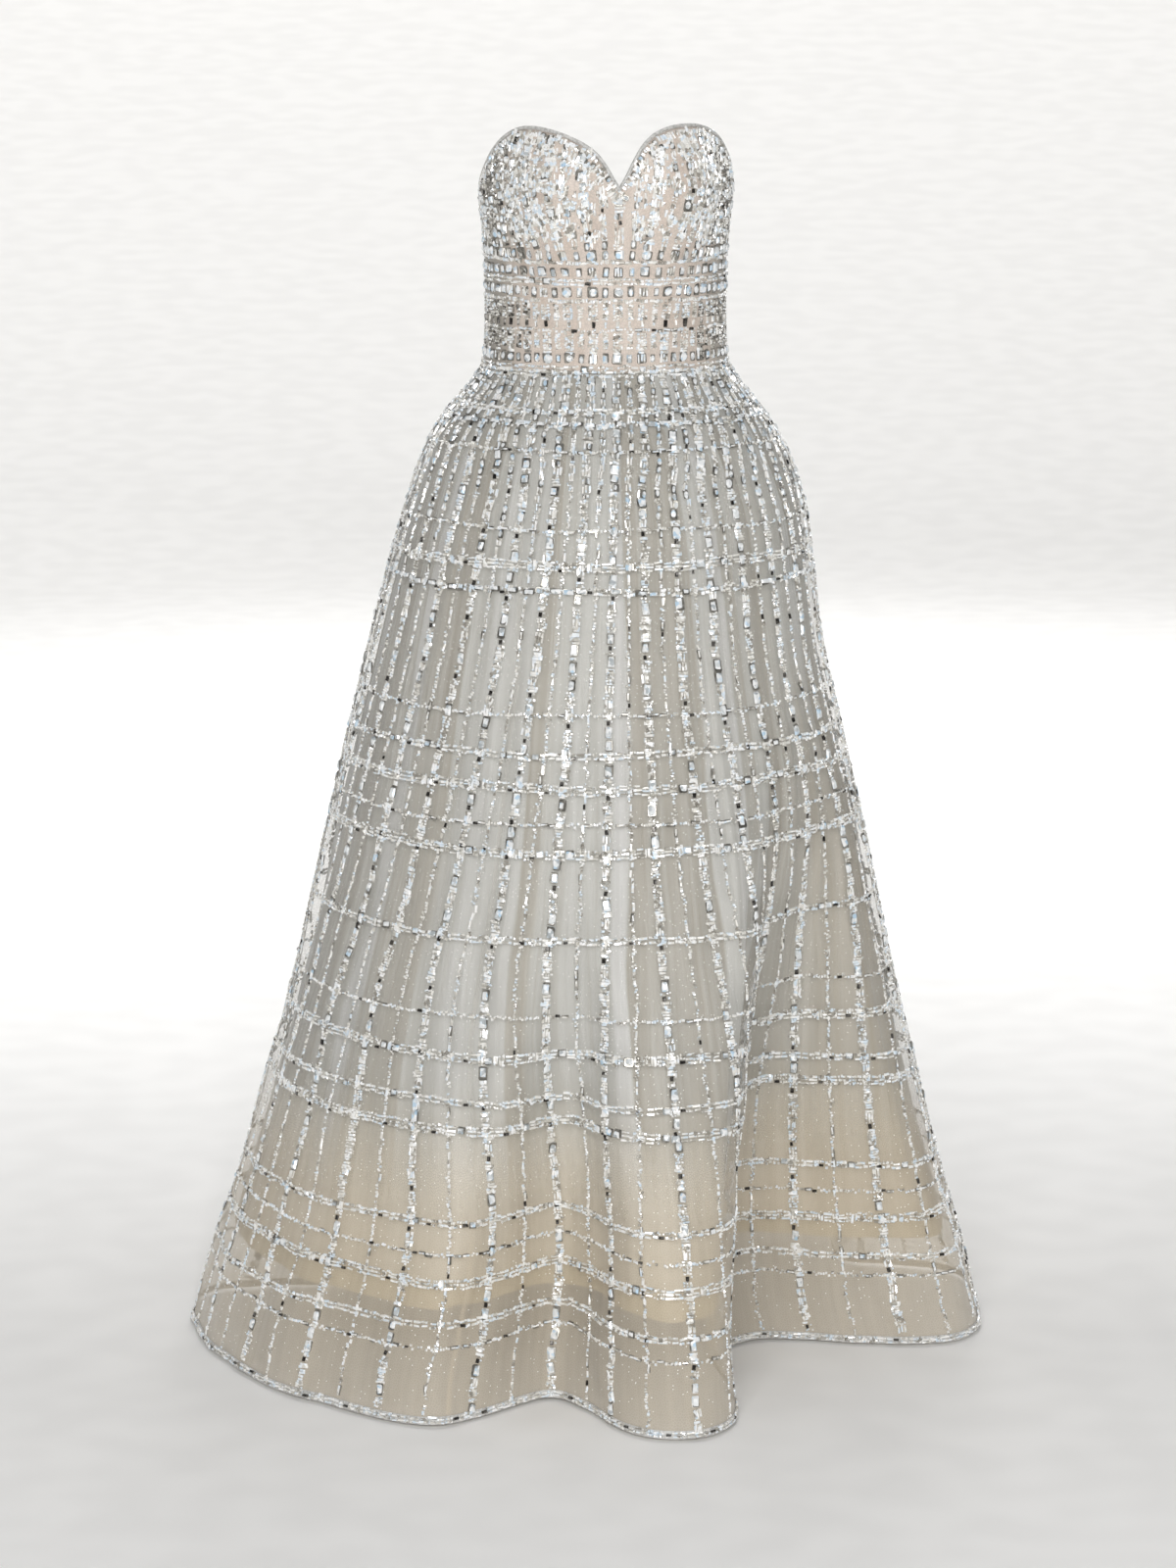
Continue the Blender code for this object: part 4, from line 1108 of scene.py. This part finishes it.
skirtBands = (
    # height, kind
    (-0.0020, "mid"), (-0.0385, "mid"), (-0.0509, "long"), (-0.0769, "thin"), (-0.1557, "thin"),
    (-0.1925, "broad"), (-0.2186, "long"), (-0.3457, "thin"), (-0.386, "mid"), (-0.4211, "broad"),
    (-0.458, "thin"), (-0.487, "broad"), (-0.577, "mid"), (-0.658, "thin"), (-0.699, "broad"),
    (-0.747, "mid"), (-0.775, "broad"), (-0.870, "mid"), (-0.900, "thin"), (-0.929, "broad"),
    (-0.972, "mid"), (-0.995, "thin"),
)
bandPlace = np.linspace(0.0, 1.0, 2400)
for height, kind in skirtBands:
    # A band wavers a little as a thread sewn by hand does
    waver = 0.0012 * np.sin(turn * (5 * bandPlace + height * 9)) * min(1.0, -height * 6)
    path, outward = onSkirt(bandPlace, height + waver)
    name = "beads_upper_bands" if height > -0.68 else "beads_lower_bands"
    layBlocks(trays[name], bandKinds[kind], path, outward, skirtLift)

hemRows = (
    (8.6, 0.5, [("bugle", x, 4.2, 2.5, 7.6) for x in (-1.7, 1.7)]),
    (6.2, 0.4, [("seed", x, y, 3.0, 3.0) for x in (-1.7, 1.7) for y in (1.5, 4.5)]),
    (7.0, 0.1, [("dark", 0, 3.4, 3.0, 6.0)]),
)
path, outward = onSkirt(bandPlace, (hemTape["top"] + hemTape["hem"]) / 2 + 0 * bandPlace)
layBlocks(trays["beads_hem"], hemRows, path, outward, skirtLift + hemTape["proud"])

# Bodice beads: lines with their stones in level rows, bands, fans over the cups
bodiceBeads = {
    "bands": ((0.1186, "bright"), (0.0978, "mid"), (0.0770, "bright"), (0.0457, "thin"),
              (0.0040, "mid")),
    # height of the middle, kind, width and length on a wide line, and on a narrow one
    "stones": (
        (0.1262, "oval", 9.8, 10.6, 5.4, 9.6),
        (0.1083, "baguette", 9.0, 10.0, 5.0, 9.0),
        (0.0868, "oval", 9.8, 10.2, 5.4, 9.4),
        (0.0155, "oval", 9.6, 10.2, 5.4, 9.2),
    ),
    "groupShare": 0.45,
    "seedSpans": ((0.0735, 0.0580, 2.9), (0.0420, 0.0270, 2.9)),
    "darkHeight": 0.0525,
    "darkShare": 0.35,
    "rungHeight": 0.0235,
    "fanStart": 0.118,
    "fanFull": 0.205,
    "fan": 0.34,
    "cupNarrowing": 1.05,
    "smokeFrom": 48.0,        # degrees from the front, where the sides begin
    "smokeShare": 0.5,
    "edgeMargin": 0.0035,
    "ownShare": 0.6,          # of stones that are the row's own kind
    "cupFrom": 0.1335,
    "loose": {"count": 460, "angles": (8, 62), "heights": (0.136, 0.250), "margin": 0.008,
              "length": 0.012, "seedShare": 0.4},
}
lift = bodiceForm["wall"] / 2
seedKind, bugleKind = kindNames.index("seed"), kindNames.index("bugle")
tray = []


def fannedAngle(angle, height):
    grown = np.clip((height - bodiceBeads["fanStart"])
                    / (bodiceBeads["fanFull"] - bodiceBeads["fanStart"]), 0, 1)
    reach = np.clip(1 - np.abs(angle) / 75.0, 0, 1)
    return angle * (1 + bodiceBeads["fan"] * grown * reach)


for index in range(2 * lineSpread["count"]):
    wide = index % 2 == 0
    around = index / (2 * lineSpread["count"])
    angle = float(np.interp(spreadBy(lineSpread["table"], around, 0.0),
                            spreadBy(skirtForm["clothShare"], mapPlace, 0.0), bodiceAngle))
    heights = np.linspace(*lineSpread["bodice"])
    angles = fannedAngle(angle, heights)
    keep = heights < necklineHeight(angles) - bodiceBeads["edgeMargin"]
    path, outward = onBodice(angles[keep], heights[keep])
    length = pathLengths(path)
    rows = []

    def reach(height):
        return float(np.interp(height, heights[keep], length)) * 1000

    top = heights[keep][-1]
    for height, stone, wideWidth, wideLength, thinWidth, thinLength in bodiceBeads["stones"]:
        if height + 0.006 < top:
            width, long = (wideWidth, wideLength) if wide else (thinWidth, thinLength)
            middle = reach(height)
            if wide and rng.random() < bodiceBeads["groupShare"]:
                parts = [("setting", 0, middle, width, long)] + upright(
                    (-width / 3.2, 0, width / 3.2), middle, width / 3.6, long - 0.8)
            else:
                parts = framed(stone if rng.random() < bodiceBeads["ownShare"] else "baguette",
                               0, middle, width, long)
            rows += [(kindNames.index(part[0]),) + part[1:] for part in parts]
    for high, low, pitch in bodiceBeads["seedSpans"]:
        for at in np.arange(reach(low), reach(high), pitch):
            for x in ((-3.5, 0.0, 3.5) if wide else (rng.choice((-1.6, -1.0)), 1.5)):
                rows.append((seedKind, x, at, 3.4, 2.8))
    dark = rng.random() < bodiceBeads["darkShare"] and wide
    rows.append((kindNames.index("dark" if dark else "bugle"), 0.0,
                 reach(bodiceBeads["darkHeight"]), 4.0 if wide else 3.0, 6.6))
    if wide:
        rows += [(bugleKind, 0.0, reach(bodiceBeads["rungHeight"]) + k, 8.6, 2.5)
                 for k in (-1.5, 1.5)]
    if top > 0.136:
        start = reach(bodiceBeads["cupFrom"])
        run = makeRun(closeBlocks if wide else closeNarrowBlocks, length[-1] - start / 1000)
        if len(run):
            run[:, 2] += start
            run[:, [1, 3]] *= bodiceBeads["cupNarrowing"]
            rows += [tuple(r) for r in run]
    rows = np.array(rows, dtype=float)
    # Smoked beads at the sides and back: partly their own grey, partly painted shade where the
    # bodice turns from the light
    if abs(angle) > bodiceBeads["smokeFrom"]:
        for plain, smoked in (("seed", "smokeSeed"), ("bugle", "smokeBugle")):
            swap = (rows[:, 0] == kindNames.index(plain)) & (
                rng.random(len(rows)) < bodiceBeads["smokeShare"])
            rows[swap, 0] = kindNames.index(smoked)
    layRun(tray, rows, path, outward, lift)

angles = np.linspace(-180, 180, 1200)
for height, kind in bodiceBeads["bands"]:
    layBlocks(tray, bandKinds[kind], *onBodice(angles, height + 0 * angles), lift)

# A row of bugles and stones follows the top edge, just under the piping
edgeRows = (
    (4.4, 0.6, [("bugle", 0, 2.2, 6.4, 2.6)]),
    (6.0, 0.2, framed("oval", 0, 3.0, 5.2, 4.4)),
    (3.4, 0.2, [("seed", -1.4, 1.6, 3.0, 3.0), ("seed", 1.8, 1.6, 3.0, 3.0)]),
)
angles = np.linspace(-179, 179, 1600)
path, outward = onBodice(angles, necklineHeight(angles) - 0.0045)
edgeLength = pathLengths(path)[-1]
layBlocks(tray, edgeRows, path, outward, lift)
secondRows = (
    (3.6, 0.5, [("bugle", 0, 1.8, 7.6, 2.7)]),
    (6.4, 0.2, framed("oval", 0, 3.2, 8.4, 5.0)),
    (9.0, 0.3, []),
)
layBlocks(tray, secondRows, *onBodice(angles, necklineHeight(angles) - 0.0145), lift,
          edgeLength)

# Loose clusters fill between the lines over the cups
loose = bodiceBeads["loose"]
for _ in range(loose["count"]):
    angleAt = rng.choice((-1, 1)) * rng.uniform(*loose["angles"])
    heightAt = rng.uniform(*loose["heights"])
    if heightAt > necklineHeight(np.array([angleAt]))[0] - loose["margin"]:
        continue
    path, outward = onBodice(angleAt + np.array([0.0, 0.02]),
                             heightAt + np.array([0.0, loose["length"]]))
    rows = np.array([(seedKind, x, rng.uniform(0, 11), 3.2, 3.2)
                     if rng.random() < loose["seedShare"] else
                     (bugleKind, x, rng.uniform(0, 11), 2.9, 7.0) for x in (-3.2, 0.0, 3.2)])
    layRun(tray, rows, path, outward, lift)
trays["beads_bodice"] = tray

beadPieces = {name: buildTray(name, rows) for name, rows in trays.items()}

# Sheets

for label, piece in (("skirt", skirtCloth), ("organza", organzaCloth), ("lining", liningCloth),
                     ("bodice", bodiceCloth)):
    print(label, "area", round(pieceArea(piece), 4))

# Stage, light and camera

print("stage")
stage = {"floor": skirtForm["hem"] - 0.0035, "flat": 5.4, "bend": 1.8, "wall": 3.2,
         "sides": 96, "colour": "#f5f4f2"}
# A round studio: a flat floor that bends up into a wall all round, so every view has it behind
profile = [(stage["flat"] + stage["bend"] * math.sin(a), stage["bend"] * (1 - math.cos(a)))
           for a in np.linspace(0, math.pi / 2, 13)]
profile.append((stage["flat"] + stage["bend"], stage["wall"]))
turns = np.linspace(0, turn, stage["sides"], endpoint=False)
verts = [(reach * math.cos(a), reach * math.sin(a), stage["floor"] + rise)
         for reach, rise in profile for a in turns]
around = stage["sides"]
faces = [tuple(range(around))]
faces += [((k + 1) * around + i, (k + 1) * around + (i + 1) % around,
           k * around + (i + 1) % around, k * around + i)
          for k in range(len(profile) - 1) for i in range(around)]
floorMesh = bpy.data.meshes.new("studio_sweep")
floorMesh.from_pydata(verts, [], faces)
for face in floorMesh.polygons:
    face.use_smooth = len(face.vertices) == 4
paper, tree = newMaterial("seamlessPaper")
grain = node(tree, "TexNoise", {"Scale": 220.0, "Detail": 0.0})
tone = node(tree, "ValToRGB", {"Fac": grain},
            stops=((0.3, "#f1f0ee"), (0.7, stage["colour"])))
finishMaterial(tree, BaseColor=tone, Roughness=0.9)
floorMesh.materials.append(paper)
floor = bpy.data.objects.new("studio_sweep", floorMesh)
bpy.context.scene.collection.objects.link(floor)

world = bpy.data.worlds.new("studio")
world.use_nodes = True
world.node_tree.nodes["Background"].inputs["Color"].default_value = (0.95, 0.97, 1.0, 1)
world.node_tree.nodes["Background"].inputs["Strength"].default_value = 0.15
bpy.context.scene.world = world

lights = (
    # name, place, aim, width, height, watts
    ("key", (-1.2, -4.6, 1.4), (0, 0, -0.25), 1.7, 1.7, 97),
    ("fill", (1.5, -4.6, 0.8), (0, 0, -0.35), 1.6, 1.6, 23),
    ("spark", (-0.2, -4.7, 1.1), (0, 0, -0.3), 0.22, 0.22, 41),
    ("back", (1.0, 4.6, 1.6), (0, 0, -0.4), 1.7, 1.7, 46),
    ("top", (0.2, 0.2, 3.2), (0, 0, -0.3), 2.6, 2.2, 40),
    ("wall", (0, 1.6, 2.6), (0, 6.0, 0.4), 5.0, 1.6, 200),
)
for name, place, aim, width, height, watts in lights:
    data = bpy.data.lights.new(name, "AREA")
    data.shape, data.size, data.size_y, data.energy = "RECTANGLE", width, height, watts
    lamp = bpy.data.objects.new(name, data)
    lamp.location = place
    lamp.visible_camera = False
    lamp.rotation_euler = (Vector(aim) - Vector(place)).to_track_quat("-Z", "Y").to_euler()
    bpy.context.scene.collection.objects.link(lamp)

camera = {"place": (-0.6041, -4.7618, 0.5), "heading": (0.1219, 0.9925), "pitch": 11.3926,
          "lens": 101.25, "sensor": 36.0}
data = bpy.data.cameras.new("camera")
data.lens, data.sensor_width = camera["lens"], camera["sensor"]
eye = bpy.data.objects.new("camera", data)
eye.location = camera["place"]
down = math.radians(camera["pitch"])
look = Vector((camera["heading"][0] * math.cos(down), camera["heading"][1] * math.cos(down),
               -math.sin(down)))
eye.rotation_euler = look.to_track_quat("-Z", "Y").to_euler()
bpy.context.scene.collection.objects.link(eye)
bpy.context.scene.camera = eye
bpy.context.scene.view_settings.view_transform = "Standard"

print("done")
